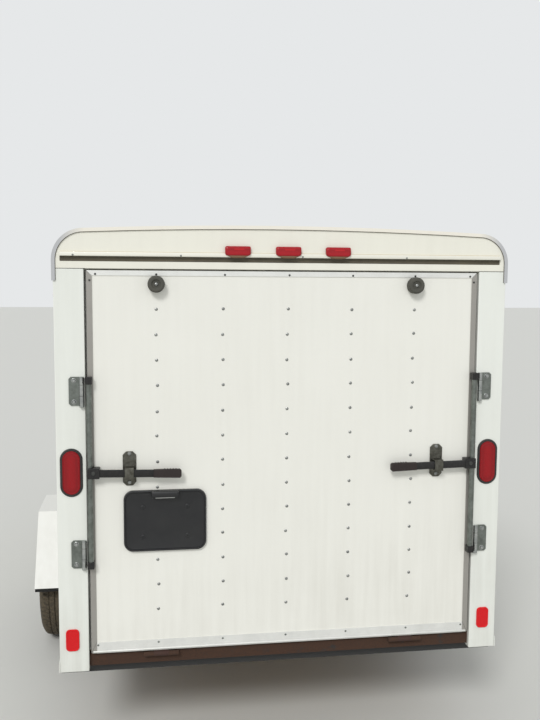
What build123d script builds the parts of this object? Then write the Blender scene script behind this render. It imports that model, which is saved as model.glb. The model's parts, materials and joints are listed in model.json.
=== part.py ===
from build123d import *
from math import cos, radians, sin, tan
import os

os.makedirs("parts", exist_ok=True)

# An enclosed single-axle cargo trailer, standing on its wheels and its tongue jack.
# +X is the kerb side, +Y the way it is towed, +Z up. The ground is Z = 0. Millimetres.

# Body
body_length = 3658
body_width = 1840
roof_top = 2227
roof_crown = 19
corner_radius = 120
front_radius = 150
wall = 38
skin = 3
sheet_gap = 0.3
deck_top = 505
deck_thickness = 19
skirt_drop = 70
cove_drop = 79
cove_proud = 5
trim_height = 42
trim_gauge = 4
trim_gap = 6
guard_height = 610
tongue_reach = 1220

# Rear frame
post_width = 116
post_depth = 50
header_depth = 60
header_height = 171
jamb_lap = 24
jamb_depth = 40
jamb_drop = 23
band_height = 28
groove_height = 20
groove_depth = 9
lip_height = 16
lip_reach = 10
lip_inset = 27
fascia_lean = 12
moulding_face = 11
moulding_proud = 3
moulding_gauge = 6

# Ramp door
door_side_gap = 9
door_top_gap = 11
door_rise = 2
door_thickness = 40
door_setback = 2
door_trim = 22
door_trim_low = 45
door_trim_round = 6
door_seal_gap = 5
board_thickness = 10

# Ramp hinges
hinge_inset = 280
hinge_drop = 15
hinge_barrel = 20
hinge_leaf = 9
middle_knuckle = 60
side_knuckle = 40
knuckle_gap = 0.5
sill_height = 51
sill_clear = 7
sill_gauge = 5

# Bumpers
bumper_inset = 269
bumper_drop = 48
bumper_radius = 33.5
bumper_reach = 38
bumper_seat = 36

# Bar locks, from the edge of the door and from its bottom
lock_rod_inset = 5
lock_rod_radius = 11
lock_rod_off = 16
keeper_rises = (360, 1015)
keeper_height = 113
keeper_width = 50
keeper_gauge = 5
keeper_corner = 8
barrel_radius = 9
barrel_out = 22
barrel_tail = 6
block_width = 26
block_height = 28
block_cover = 3
handle_rise = 748
handle_reach = 359
handle_droop = 1.2
handle_height = 30
handle_gauge = 8
handle_off = 32
fork_inner = 38
fork_outer = 8
fork_height = 42
fork_gauge = 3
grip_length = 110
grip_flare = 2
grip_gauge = 18
grip_nose = 6
hasp_inset = 159
hasp_rise = 10
hasp_size = (53, 138)
hasp_corner = 14
hasp_gauge = 5
hasp_gap = 3
hasp_loop = 35

# Number-plate holder
plate_inset = 299
plate_rise = 543
plate_holder_size = (330, 249)
plate_holder_round = 38
plate_base = 14
plate_rim = 9
plate_drop = 6
plate_recess_height = 189
plate_bolts = (177.8, 120.65)
plate_bolt_radius = 3.5
plate_hood = (110, 26)
plate_hood_reach = 34

# Lamps and reflectors
id_lamp_pitch = 203
id_lamp_size = (102, 47)
id_lamp_drop = 16
id_lamp_corner = 6
id_lamp_boat = (23, 12)
id_lamp_reach = 20
tail_lamp_rise = 819
tail_lamp_size = (88, 194)
grommet_gauge = 5
lens_edge = 9
lens_reach = 8
reflector_rise = 134
reflector_size = (53, 90)
reflector_round = 16
reflector_gauge = 6
marker_size = (70, 28)
marker_reach = 14
marker_drop = 60
marker_front = 90
marker_rear = 150

# Side door
side_door_width = 813
side_door_back = 457
side_door_gap = 7
side_door_sill = 3
side_door_head = 38
frame_edge = 28
frame_gauge = 3
side_barrel = 12
side_leaf = 46
latch_inset = 70
latch_rise = 665
latch_plate = (100, 130)
latch_grip = (64, 22)
latch_grip_reach = 26

# Wheels
tyre_radius = 343
tyre_width = 205
tyre_side_gap = 25.5
flange_radius = 203
rim_width = 140
rim_gauge = 6
pilot_radius = 42
disc_gauge = 6
bolt_circle = 114.3
bolt_count = 5
nut_radius = 11
nut_length = 18
hub_inner = 72
hub_radius = 60
cap_radius = 27
cap_out = 66
spindle_radius = 17
spindle_gap = 0.3

# Axle, springs and fenders
axle_ahead = 1450
axle_drop = 102
axle_tube = 60
arm_gap = 2
arm_gauge = 20
arm_width = 80
spring_reach = 320
spring_width = 44
leaf_gauge = 7
leaf_count = 3
leaf_step = 90
eye_radius = 16
eye_drop = 40
hanger_gauge = 5
hanger_length = 70
hanger_below = 24
fender_clear = 64
fender_flat = 356
fender_slope = 58
fender_rise = 52
fender_side_gap = 9.5
fender_gauge = 3
fender_lip = 48

# Chassis
rail_height = 76
rail_width = 51
tube_gauge = 4
crossmember_width = 38
crossmember_count = 8
tongue_angle = 25.4
tongue_lap = 560
tongue_start = 300
tongue_spread = 74

# Coupler and jack
ball_radius = 25.4
ball_gap = 0.4
socket_wall = 6
socket_over = 8
ball_rise = 10
coupler_plate = 6
coupler_lap = 180
coupler_crown = 24
neck_inset = 7
neck_crown = 14
lever_length = 120
lever_gauge = 16
jack_back = 420
jack_tube_radius = 29
jack_tube_gauge = 4
jack_tube_length = 571
jack_cap = 8
jack_bracket = 118
jack_bracket_gauge = 8
jack_ram_gap = 0.4
jack_ram_lap = 104
jack_foot = 150
jack_foot_corner = 25
jack_foot_gauge = 8
crank_arm = 150
crank_bar = (20, 8)
crank_shaft = 16
crank_rise = 20
crank_grip_radius = 10
crank_grip_length = 90

# Lengthwise places: the middle of the whole reach is Y = 0
hasp_out = handle_off + handle_gauge / 2 + hasp_gap + hasp_gauge
rear_reach = hasp_out - door_setback
overall = rear_reach + body_length + tongue_reach
rear_y = rear_reach - overall / 2
front_y = rear_y + body_length
nose_y = overall / 2
wall_back = rear_y + post_depth
roof_back = rear_y + header_depth
corner_y = front_y - front_radius
door_face = rear_y + door_setback
door_back = door_face + door_thickness
jamb_back = door_back + door_seal_gap
panel_face = door_setback + skin
axle_y = rear_y + axle_ahead
tongue_front = nose_y - tongue_start
jack_y = nose_y - jack_back

# Heights
skirt_bottom = deck_top - skirt_drop
spring_line = roof_top - roof_crown - corner_radius
cove_bottom = spring_line - cove_drop
opening_top = roof_top - header_height
door_bottom = deck_top + door_rise
door_top = opening_top - door_top_gap
hinge_z = door_bottom - hinge_drop
deck_low = deck_top - deck_thickness
rail_low = deck_low - rail_height
rail_middle = rail_low + rail_height / 2
tongue_low = rail_low - rail_height
spindle_z = tyre_radius
axle_z = spindle_z - axle_drop
handle_z = door_bottom + handle_rise

# Distances from the middle
half_width = body_width / 2
corner_x = half_width - corner_radius
opening_half = half_width - post_width
post_middle = half_width - post_width / 2
jamb_half = opening_half - jamb_lap
door_half = opening_half - door_side_gap
rail_x = half_width - skin - rail_width / 2
wheel_x = half_width + tyre_side_gap + tyre_width / 2
far = 2 * body_length
sides = (("right", 1), ("left", -1))


def across(ahead):
    """Plane that faces rearwards, ahead of the body's rear face by the given distance."""
    return Plane.XZ.offset(-(rear_y + ahead))


def draw_section(inset, shift=0, low=skirt_bottom, mode=Mode.ADD):
    """Cross-section of the body: upright sides, round corners, crowned roof.

    inset draws it in all round; shift moves the sides and their round corners outwards.
    """
    turn = corner_radius - inset
    centre_x = corner_x + shift
    side_x = centre_x + turn
    top_z = spring_line + turn
    bend = turn * cos(radians(45))
    with BuildLine() as outline:
        Polyline((-side_x, spring_line), (-side_x, low), (side_x, low), (side_x, spring_line))
        ThreePointArc((side_x, spring_line), (centre_x + bend, spring_line + bend), (centre_x, top_z))
        ThreePointArc((centre_x, top_z), (0, top_z + roof_crown), (-centre_x, top_z))
        ThreePointArc((-centre_x, top_z), (-centre_x - bend, spring_line + bend), (-side_x, spring_line))
    make_face(outline.edges(), mode=mode)


def body_form(inset, low):
    """Outside of the body drawn in by inset, with round front corners and a round front top edge."""
    front = front_y - inset
    half = half_width - inset
    with BuildPart() as form:
        with BuildSketch(Plane.XZ.offset(-rear_y)):
            draw_section(inset, low=low)
        extrude(amount=-far)
        with BuildSketch(Plane.XY) as plan:
            with Locations((0, front - body_length / 2)):
                Rectangle(2 * half, body_length)
            fillet(plan.vertices().group_by(Axis.Y)[-1], radius=front_radius - inset)
        extrude(amount=far, mode=Mode.INTERSECT)
        with BuildSketch(Plane.YZ) as side:
            with Locations((front - body_length / 2, (roof_top - inset) / 2)):
                Rectangle(body_length, roof_top - inset)
            top_corner = side.vertices().sort_by(lambda corner: corner.X + corner.Y)[-1]
            fillet(top_corner, radius=front_radius - inset)
        extrude(amount=far, both=True, mode=Mode.INTERSECT)
    return form.part


def zone(x_span, y_span, z_span):
    """Block between two limits on each axis, which keeps the part of a form inside it."""
    spans = (x_span, y_span, z_span)
    centre = tuple((low + high) / 2 for low, high in spans)
    with Locations(centre):
        Box(*[high - low for low, high in spans], mode=Mode.INTERSECT)


def draw_tube(width, height, gauge=tube_gauge):
    """Section of a rectangular tube."""
    Rectangle(width, height)
    Rectangle(width - 2 * gauge, height - 2 * gauge, mode=Mode.SUBTRACT)


# Shell of the body: outside less the cargo space, and below the deck only a skin skirt
with BuildPart() as below_deck:
    add(body_form(skin, skirt_bottom))
    zone((-far, far), (-far, far), (0, deck_top))

with BuildPart() as shell:
    add(body_form(0, skirt_bottom))
    add(body_form(wall, deck_top), mode=Mode.SUBTRACT)
    add(below_deck.part, mode=Mode.SUBTRACT)

panel_zones = (
    # name, X span, Y span, Z span
    ("wall_left", (-far, 0), (wall_back, corner_y), (0, cove_bottom)),
    ("front_wall", (-far, far), (corner_y, far), (0, cove_bottom)),
    ("roof", (-corner_x, corner_x), (roof_back, corner_y), (cove_bottom, far)),
    ("nose_cap", (-far, far), (corner_y, far), (cove_bottom, far)),
)
for name, x_span, y_span, z_span in panel_zones:
    with BuildPart() as panel:
        add(shell.part)
        zone(x_span, y_span, z_span)
    panel.part.label = name
    export_step(panel.part, f"parts/{name}.step")

# Kerb-side wall with the side doorway cut through it
side_door_front = front_y - side_door_back
side_door_rear = side_door_front - side_door_width
side_door_low = deck_top + side_door_sill + side_door_gap
side_door_height = cove_bottom - side_door_head - side_door_low
doorway_centre = (
    (side_door_front + side_door_rear) / 2,
    side_door_low + side_door_height / 2,
)
doorway_size = (side_door_width + 2 * side_door_gap, side_door_height + 2 * side_door_gap)

with BuildPart() as wall_right:
    add(shell.part)
    zone((0, far), (wall_back, corner_y), (0, cove_bottom))
    with BuildSketch(Plane.YZ):
        with Locations(doorway_centre):
            Rectangle(*doorway_size)
    extrude(amount=2 * half_width, mode=Mode.SUBTRACT)
wall_right.part.label = "wall_right"
export_step(wall_right.part, "parts/wall_right.step")

# Coves: the round mouldings along the top corners, proud of the walls
with BuildPart() as cove_right:
    with BuildSketch(across(header_depth)):
        draw_section(0, shift=cove_proud)
        draw_section(wall, mode=Mode.SUBTRACT)
    extrude(amount=-(corner_y - roof_back))
    zone((corner_x, far), (-far, far), (cove_bottom, far))
with BuildPart() as coves:
    add(cove_right.part)
    mirror(about=Plane.YZ)
coves.part.label = "coves"
export_step(coves.part, "parts/coves.step")

# Rear frame: two posts, each with the jamb that the ramp door shuts against
with BuildPart() as rear_posts:
    for side, sign in sides:
        with BuildSketch(Plane.XY.offset(skirt_bottom)):
            with Locations((sign * post_middle, rear_y + post_depth / 2)):
                Rectangle(post_width, post_depth)
        extrude(amount=opening_top - skirt_bottom)
        with BuildSketch(Plane.XY.offset(deck_top)):
            with Locations((sign * (jamb_half + half_width - wall) / 2, jamb_back + jamb_depth / 2)):
                Rectangle(half_width - wall - jamb_half, jamb_depth)
        extrude(amount=opening_top - deck_top)
rear_posts.part.label = "rear_posts"
export_step(rear_posts.part, "parts/rear_posts.step")

# Header over the doorway: flat band, groove under the drip lip, and sloped fascia
band_top = opening_top + band_height
groove_top = band_top + groove_height
lip_top = groove_top + lip_height
lip_half = half_width - lip_inset
lip_middle = (rear_y - lip_reach / 2, (groove_top + lip_top) / 2)
header_profile = (
    # distance ahead of the rear face, height
    (0, opening_top),
    (0, lip_top),
    (fascia_lean, roof_top),
    (header_depth, roof_top),
    (header_depth, opening_top),
)

with BuildPart() as rear_header:
    with BuildSketch(Plane.YZ):
        with BuildLine():
            Polyline(*[(rear_y + ahead, z) for ahead, z in header_profile], close=True)
        make_face()
    extrude(amount=half_width, both=True)
    with BuildSketch(across(0)):
        draw_section(0)
    extrude(amount=-header_depth, mode=Mode.INTERSECT)
    with BuildSketch(Plane.YZ):
        with Locations(lip_middle):
            Rectangle(lip_reach, lip_height)
    extrude(amount=lip_half, both=True)
    with BuildSketch(Plane.YZ):
        with Locations((rear_y + groove_depth / 2, (band_top + groove_top) / 2)):
            Rectangle(groove_depth, groove_height)
    extrude(amount=lip_half, both=True, mode=Mode.SUBTRACT)
    with BuildSketch(Plane.YZ):
        with Locations((jamb_back, opening_top + skin)):
            Rectangle(jamb_depth, jamb_drop + skin, align=(Align.MIN, Align.MAX))
    extrude(amount=jamb_half, both=True)
rear_header.part.label = "rear_header"
export_step(rear_header.part, "parts/rear_header.step")

# Edge moulding round the rear end of the roof and coves
with BuildPart() as rear_moulding:
    with BuildSketch(across(0)):
        draw_section(-moulding_proud, shift=cove_proud - moulding_proud)
        draw_section(moulding_face, shift=cove_proud - moulding_proud, mode=Mode.SUBTRACT)
    extrude(amount=moulding_gauge)
    zone((-far, far), (-far, far), (cove_bottom, far))
rear_moulding.part.label = "rear_moulding"
export_step(rear_moulding.part, "parts/rear_moulding.step")

# Deck of plywood, on the chassis and between the skirts
with BuildPart() as floor:
    add(body_form(skin + sheet_gap, deck_low))
    zone((-far, far), (wall_back, far), (deck_low, deck_top))
floor.part.label = "floor"
export_step(floor.part, "parts/floor.step")

# Main rails of the chassis, one along each side, with the spring hangers welded under them
seat_z = axle_z + axle_tube / 2
eye_z = rail_low - eye_drop
hanger_low = eye_z - hanger_below
hanger_off = (spring_width + hanger_gauge) / 2 + sheet_gap
with BuildPart() as main_rails:
    for side, sign in sides:
        with BuildSketch(across(post_depth)):
            with Locations((sign * rail_x, rail_middle)):
                draw_tube(rail_width, rail_height)
        extrude(amount=-(corner_y - wall_back))
        for cheek in (-hanger_off, hanger_off):
            with BuildSketch(Plane.YZ.offset(sign * rail_x + cheek)):
                for end in (-spring_reach, spring_reach):
                    with Locations((axle_y + end, (hanger_low + rail_low) / 2)):
                        Rectangle(hanger_length, rail_low - hanger_low)
            extrude(amount=hanger_gauge / 2, both=True)
main_rails.part.label = "main_rails"
export_step(main_rails.part, "parts/main_rails.step")

# Crossmembers: channels from rail to rail, evenly spaced, and a tube across the front
cross_half = rail_x - rail_width / 2
cross_front = corner_y - crossmember_width
cross_pitch = (cross_front - wall_back) / (crossmember_count - 1)
nose_tube_y = front_y - skin - sheet_gap - crossmember_width / 2
with BuildPart() as crossmembers:
    for number in range(crossmember_count):
        middle_y = wall_back + number * cross_pitch + crossmember_width / 2
        with BuildSketch(Plane.YZ):
            with Locations((middle_y, rail_middle)):
                Rectangle(crossmember_width, rail_height)
            with Locations((middle_y + tube_gauge, rail_middle)):
                Rectangle(crossmember_width, rail_height - 2 * tube_gauge, mode=Mode.SUBTRACT)
        extrude(amount=cross_half, both=True)
    with BuildSketch(Plane.YZ):
        with Locations((nose_tube_y, rail_middle)):
            draw_tube(crossmember_width, rail_height)
    extrude(amount=half_width - front_radius, both=True)
crossmembers.part.label = "crossmembers"
export_step(crossmembers.part, "parts/crossmembers.step")

# Rear sill: a tube under the ramp door, between the posts, with the fixed hinge knuckles.
# The pins are closed in by the knuckles and aren't drawn.
sill_back = door_face + hinge_barrel / 2 + sill_clear
sill_top = door_bottom - sill_clear
hinge_places = (hinge_inset - door_half, door_half - hinge_inset)
side_knuckle_x = middle_knuckle / 2 + knuckle_gap + side_knuckle / 2
with BuildPart() as rear_sill:
    with BuildSketch(Plane.YZ):
        with Locations(((sill_back + wall_back) / 2, sill_top - sill_height / 2)):
            draw_tube(wall_back - sill_back, sill_height, sill_gauge)
    extrude(amount=opening_half, both=True)
    for x in hinge_places:
        for end in (-side_knuckle_x, side_knuckle_x):
            with BuildSketch(Plane.YZ.offset(x + end)):
                with Locations((door_face, hinge_z)):
                    Circle(hinge_barrel / 2)
                    Rectangle(sill_back - door_face, hinge_leaf, align=(Align.MIN, Align.CENTER))
            extrude(amount=side_knuckle / 2, both=True)
rear_sill.part.label = "rear_sill"
export_step(rear_sill.part, "parts/rear_sill.step")

# Ramp door: aluminium edge frame with the moving knuckles, white panel, ramp board on the inside
panel_half = door_half - door_trim
panel_low = door_bottom + door_trim_low
panel_high = door_top - door_trim
panel_middle = (panel_low + panel_high) / 2
with BuildPart() as ramp_frame:
    with BuildSketch(across(door_setback)):
        with Locations((0, (door_bottom + door_top) / 2)):
            RectangleRounded(2 * door_half, door_top - door_bottom, door_trim_round)
        with Locations((0, panel_middle)):
            Rectangle(2 * panel_half, panel_high - panel_low, mode=Mode.SUBTRACT)
    extrude(amount=-door_thickness)
    for x in hinge_places:
        with BuildSketch(Plane.YZ.offset(x)):
            with Locations((door_face, hinge_z)):
                Circle(hinge_barrel / 2)
                Rectangle(hinge_barrel / 2, door_bottom - hinge_z, align=Align.MIN)
        extrude(amount=middle_knuckle / 2, both=True)
ramp_frame.part.label = "ramp_frame"
export_step(ramp_frame.part, "parts/ramp_frame.step")

with BuildPart() as ramp_panel:
    with BuildSketch(across(panel_face)):
        with Locations((0, panel_middle)):
            Rectangle(2 * panel_half, panel_high - panel_low)
    extrude(amount=-(door_thickness - skin - board_thickness))
ramp_panel.part.label = "ramp_panel"
export_step(ramp_panel.part, "parts/ramp_panel.step")

with BuildPart() as ramp_board:
    with BuildSketch(across(door_setback + door_thickness - board_thickness)):
        with Locations((0, panel_middle)):
            Rectangle(2 * panel_half, panel_high - panel_low)
    extrude(amount=-board_thickness)
ramp_board.part.label = "ramp_board"
export_step(ramp_board.part, "parts/ramp_board.step")

# Rubber bumpers on the door's outer face, each on a boss that reaches back to the panel
bumper_x = door_half - bumper_inset
bumper_z = door_top - bumper_drop
with BuildPart() as door_bumpers:
    for x in (-bumper_x, bumper_x):
        with BuildSketch(across(panel_face)):
            with Locations((x, bumper_z)):
                Rectangle(bumper_seat, bumper_seat)
        extrude(amount=skin)
        with BuildSketch(across(door_setback)):
            with Locations((x, bumper_z)):
                Circle(bumper_radius)
        extrude(amount=bumper_reach)
door_bumpers.part.label = "door_bumpers"
export_step(door_bumpers.part, "parts/door_bumpers.step")

# Bar locks. A rod stands on each side of the door, with a block at either end that the door
# pulls shut beside the keeper's barrel. A fork on the rod holds the flat handle, which runs
# towards the middle of the door, drooping a little, through the loop of its hasp to its grip.
lock_rod_x = door_half - lock_rod_inset
keeper_lows = [door_bottom + rise for rise in keeper_rises]
rod_low = keeper_lows[0]
rod_high = keeper_lows[-1] + keeper_height
rod_y = door_face - lock_rod_off
fork_out = handle_off + handle_gauge / 2 + fork_gauge
droop = radians(handle_droop)
handle_plane = Plane(
    origin=(lock_rod_x, door_face - handle_off, handle_z),
    x_dir=(-cos(droop), 0, -sin(droop)),
    z_dir=(0, -1, 0),
)
bar_start = fork_inner / 2
bar_end = handle_reach - grip_nose
with BuildPart() as bar_lock_right:
    with BuildSketch(Plane.XY.offset(rod_low)):
        with Locations((lock_rod_x, rod_y)):
            Circle(lock_rod_radius)
    extrude(amount=rod_high - rod_low)
    for block_low in (rod_low, rod_high - block_height):
        with BuildSketch(Plane.XY.offset(block_low)):
            with Locations((lock_rod_x, door_face)):
                Rectangle(
                    block_width,
                    lock_rod_off + lock_rod_radius + block_cover,
                    align=(Align.CENTER, Align.MAX),
                )
        extrude(amount=block_height)
    with BuildSketch(across(door_setback)):
        with Locations((lock_rod_x + (fork_outer - fork_inner) / 2, handle_z)):
            Rectangle(fork_inner + fork_outer, fork_height)
    extrude(amount=fork_out)
    with BuildSketch(handle_plane):
        with Locations(((bar_start + bar_end) / 2, 0)):
            Rectangle(bar_end - bar_start, handle_height)
    extrude(amount=handle_gauge / 2, both=True)

grip_start = handle_reach - grip_length
with BuildPart() as lock_grip_right:
    with BuildSketch(handle_plane):
        with BuildLine():
            Polyline(
                (grip_start, -handle_height / 2 - sheet_gap),
                (handle_reach - grip_nose, -handle_height / 2 - grip_flare),
                (handle_reach, grip_nose - handle_height / 2 - grip_flare),
                (handle_reach, handle_height / 2 + grip_flare - grip_nose),
                (handle_reach - grip_nose, handle_height / 2 + grip_flare),
                (grip_start, handle_height / 2 + sheet_gap),
                close=True,
            )
        make_face()
    extrude(amount=grip_gauge / 2, both=True)
    with BuildSketch(handle_plane):
        with Locations(((grip_start + bar_end) / 2, 0)):
            Rectangle(bar_end - grip_start, handle_height)
    extrude(amount=handle_gauge / 2, both=True, mode=Mode.SUBTRACT)

# Hasps: a base plate and a loop round the handle
hasp_x = door_half - hasp_inset
loop_z = handle_z - (lock_rod_x - hasp_x) * tan(droop)
loop_inside = handle_height + 2 * hasp_gap
with BuildPart() as hasp_right:
    with BuildSketch(across(panel_face)) as base:
        with Locations((hasp_x, handle_z + hasp_rise)):
            Rectangle(*hasp_size)
        chamfer(base.vertices(), length=hasp_corner)
    extrude(amount=hasp_gauge)
    with BuildSketch(Plane.YZ.offset(hasp_x)):
        with Locations((rear_y + panel_face, loop_z)):
            Rectangle(
                hasp_out + skin,
                loop_inside + 2 * hasp_gauge,
                align=(Align.MAX, Align.CENTER),
            )
        with Locations((rear_y + panel_face - hasp_gauge, loop_z)):
            Rectangle(
                hasp_out + skin - 2 * hasp_gauge,
                loop_inside,
                align=(Align.MAX, Align.CENTER),
                mode=Mode.SUBTRACT,
            )
    extrude(amount=hasp_loop / 2, both=True)

# Keepers bolted to the posts: a plate, and the barrel that carries the lock's end
barrel_x = door_half + barrel_out
with BuildPart() as keeper_right:
    for keeper_low in keeper_lows:
        with BuildSketch(across(0)) as plate:
            with Locations((barrel_x + keeper_width / 2, keeper_low + keeper_height / 2)):
                Rectangle(keeper_width, keeper_height)
            chamfer(plate.vertices().group_by(Axis.X)[-1], length=keeper_corner)
        extrude(amount=keeper_gauge)
        with BuildSketch(Plane.XY.offset(keeper_low - barrel_tail)):
            with Locations((barrel_x, rear_y - barrel_radius)):
                Circle(barrel_radius)
        extrude(amount=keeper_height + barrel_tail)

for piece, name in (
    (bar_lock_right, "bar_locks"),
    (lock_grip_right, "lock_grips"),
    (hasp_right, "hasps"),
    (keeper_right, "lock_keepers"),
):
    with BuildPart() as pair:
        add(piece.part)
        mirror(about=Plane.YZ)
    pair.part.label = name
    export_step(pair.part, f"parts/{name}.step")

# Tail lamps: a rubber grommet on each post with the lens raised in it
tail_lamp_z = skirt_bottom + tail_lamp_rise
lens_size = [length - 2 * lens_edge for length in tail_lamp_size]
with BuildPart() as lamp_grommets:
    for side, sign in sides:
        with BuildSketch(across(0)):
            with Locations((sign * post_middle, tail_lamp_z)):
                SlotOverall(tail_lamp_size[1], tail_lamp_size[0], rotation=90)
        extrude(amount=grommet_gauge)
lamp_grommets.part.label = "lamp_grommets"
export_step(lamp_grommets.part, "parts/lamp_grommets.step")

with BuildPart() as tail_lamps:
    for side, sign in sides:
        with BuildSketch(across(-grommet_gauge)):
            with Locations((sign * post_middle, tail_lamp_z)):
                SlotOverall(lens_size[1], lens_size[0], rotation=90)
        extrude(amount=lens_reach)
tail_lamps.part.label = "tail_lamps"
export_step(tail_lamps.part, "parts/tail_lamps.step")

reflector_z = skirt_bottom + reflector_rise
with BuildPart() as rear_reflectors:
    for side, sign in sides:
        with BuildSketch(across(0)):
            with Locations((sign * post_middle, reflector_z)):
                RectangleRounded(*reflector_size, reflector_round)
        extrude(amount=reflector_gauge)
rear_reflectors.part.label = "rear_reflectors"
export_step(rear_reflectors.part, "parts/rear_reflectors.step")

# Marker lamps on the side walls: amber at the front, red at the rear
marker_z = cove_bottom - marker_drop


def draw_side_markers(y):
    """A marker lamp on each side wall, at the given place along it."""
    for side, sign in sides:
        with BuildSketch(Plane.YZ.offset(sign * half_width)) as outline:
            with Locations((y, marker_z)):
                Rectangle(*marker_size)
        extrude(outline.sketch, amount=sign * marker_reach)


with BuildPart() as amber_lamps:
    draw_side_markers(corner_y - marker_front)
amber_lamps.part.label = "amber_lamps"
export_step(amber_lamps.part, "parts/amber_lamps.step")

# Three identification lamps on the sloped fascia. Each hangs down over the drip lip and is
# narrower at its foot.
fascia_plane = Plane(
    origin=(0, rear_y, lip_top),
    x_dir=(1, 0, 0),
    z_dir=(0, lip_top - roof_top, fascia_lean),
)
id_lamp_half = id_lamp_size[0] / 2
id_lamp_top = id_lamp_size[1] - id_lamp_drop
id_lamp_outline = (
    # distance from the lamp's middle, height over the lip
    (id_lamp_half - id_lamp_boat[0], -id_lamp_drop),
    (id_lamp_half, id_lamp_boat[1] - id_lamp_drop),
    (id_lamp_half, id_lamp_top - id_lamp_corner),
    (id_lamp_half - id_lamp_corner, id_lamp_top),
)
with BuildPart() as red_lamps:
    for x in (-id_lamp_pitch, 0, id_lamp_pitch):
        right_edge = [(x + out, rise) for out, rise in id_lamp_outline]
        left_edge = [(x - out, rise) for out, rise in reversed(id_lamp_outline)]
        with BuildSketch(fascia_plane):
            with BuildLine():
                Polyline(*right_edge, *left_edge, close=True)
            make_face()
        extrude(amount=id_lamp_reach)
    with BuildSketch(Plane.YZ):
        with Locations(lip_middle):
            Rectangle(lip_reach, lip_height)
    extrude(amount=lip_half, both=True, mode=Mode.SUBTRACT)
    draw_side_markers(rear_y + marker_rear)
red_lamps.part.label = "red_lamps"
export_step(red_lamps.part, "parts/red_lamps.step")

# Empty number-plate holder with a lamp hood over its top edge
plate_x = plate_inset - door_half
plate_z = door_bottom + plate_rise
recess_z = plate_z - plate_drop
with BuildPart() as plate_holder:
    with BuildSketch(across(panel_face)):
        with Locations((plate_x, plate_z)):
            RectangleRounded(*plate_holder_size, plate_holder_round)
    extrude(amount=plate_base)
    with BuildSketch(across(panel_face - plate_base)):
        with Locations((plate_x, recess_z)):
            Rectangle(plate_holder_size[0] - 2 * plate_rim, plate_recess_height)
    extrude(amount=-plate_base / 2, mode=Mode.SUBTRACT)
    with BuildSketch(across(panel_face - plate_base)):
        with Locations((plate_x, plate_z + (plate_holder_size[1] - plate_hood[1]) / 2)):
            Rectangle(*plate_hood)
    extrude(amount=plate_hood_reach - plate_base)
    with BuildSketch(across(panel_face)):
        with Locations((plate_x, recess_z)):
            with GridLocations(*plate_bolts, 2, 2):
                Circle(plate_bolt_radius)
    extrude(amount=plate_base, mode=Mode.SUBTRACT)
plate_holder.part.label = "plate_holder"
export_step(plate_holder.part, "parts/plate_holder.step")

# Side door on the kerb side, hung on a full-length hinge at its front edge.
# The hinge's barrel stays on the door's frame, and its moving leaf goes with the door.
side_hinge_x = half_width + frame_gauge + sheet_gap + side_barrel / 2
side_hinge_y = side_door_front + side_door_gap / 2
doorway_front = side_door_front + side_door_gap
with BuildPart() as side_door:
    with BuildSketch(Plane.YZ.offset(half_width - wall)):
        with Locations(doorway_centre):
            Rectangle(side_door_width, side_door_height)
    extrude(amount=wall)
side_door.part.label = "side_door"
export_step(side_door.part, "parts/side_door.step")

with BuildPart() as side_door_frame:
    with BuildSketch(Plane.YZ.offset(half_width)):
        with Locations(doorway_centre):
            Rectangle(doorway_size[0] + 2 * frame_edge, doorway_size[1] + 2 * frame_edge)
            Rectangle(*doorway_size, mode=Mode.SUBTRACT)
    extrude(amount=frame_gauge)
    with BuildSketch(Plane.XY.offset(side_door_low)):
        with Locations((side_hinge_x, side_hinge_y)):
            Circle(side_barrel / 2)
        with Locations((half_width, doorway_front)):
            Rectangle(
                side_hinge_x - half_width,
                side_hinge_y + side_barrel / 2 - doorway_front,
                align=Align.MIN,
            )
    extrude(amount=side_door_height)
side_door_frame.part.label = "side_door_frame"
export_step(side_door_frame.part, "parts/side_door_frame.step")

latch_place = (side_door_rear + latch_inset, side_door_low + latch_rise)
with BuildPart() as side_door_fittings:
    with BuildSketch(Plane.XY.offset(side_door_low)):
        with Locations((half_width, side_hinge_y)):
            Rectangle(frame_gauge, side_leaf, align=(Align.MIN, Align.MAX))
    extrude(amount=side_door_height)
    with BuildSketch(Plane.YZ.offset(half_width)):
        with Locations(latch_place):
            Rectangle(*latch_plate)
    extrude(amount=frame_gauge)
    with BuildSketch(Plane.YZ.offset(half_width)):
        with Locations(latch_place):
            Rectangle(*latch_grip)
    extrude(amount=latch_grip_reach)
side_door_fittings.part.label = "side_door_fittings"
export_step(side_door_fittings.part, "parts/side_door_fittings.step")

# Fenders: sheet over each wheel with a flat top and sloped ends, and a lip turned down outside
fender_top = 2 * tyre_radius + fender_clear
fender_low = spindle_z + fender_rise
fender_width = tyre_side_gap + tyre_width + fender_side_gap
fender_half = fender_flat / 2 + (fender_top - fender_low) / tan(radians(fender_slope))
foot_z = fender_low - fender_lip
foot_half = fender_flat / 2 + (fender_top - foot_z) / tan(radians(fender_slope))
fender_profile = (
    # distance ahead of the axle, height
    (-foot_half, foot_z),
    (-fender_flat / 2, fender_top),
    (fender_flat / 2, fender_top),
    (foot_half, foot_z),
)
fender_bands = (
    # depth of the band, its inner and outer X
    (fender_gauge, half_width, half_width + fender_width),
    (fender_lip, half_width + fender_width - fender_gauge, half_width + fender_width),
)
with BuildPart() as fender_right:
    for depth, inner_x, outer_x in fender_bands:
        with BuildSketch(Plane.YZ.offset(inner_x)):
            with BuildLine():
                Polyline(*[(axle_y + ahead, z) for ahead, z in fender_profile], close=True)
            make_face()
            offset(amount=-depth, mode=Mode.SUBTRACT)
        extrude(amount=outer_x - inner_x)
    zone((0, far), (-far, far), (fender_low, far))
with BuildPart() as fenders:
    add(fender_right.part)
    mirror(about=Plane.YZ)
fenders.part.label = "fenders"
export_step(fenders.part, "parts/fenders.step")

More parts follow.
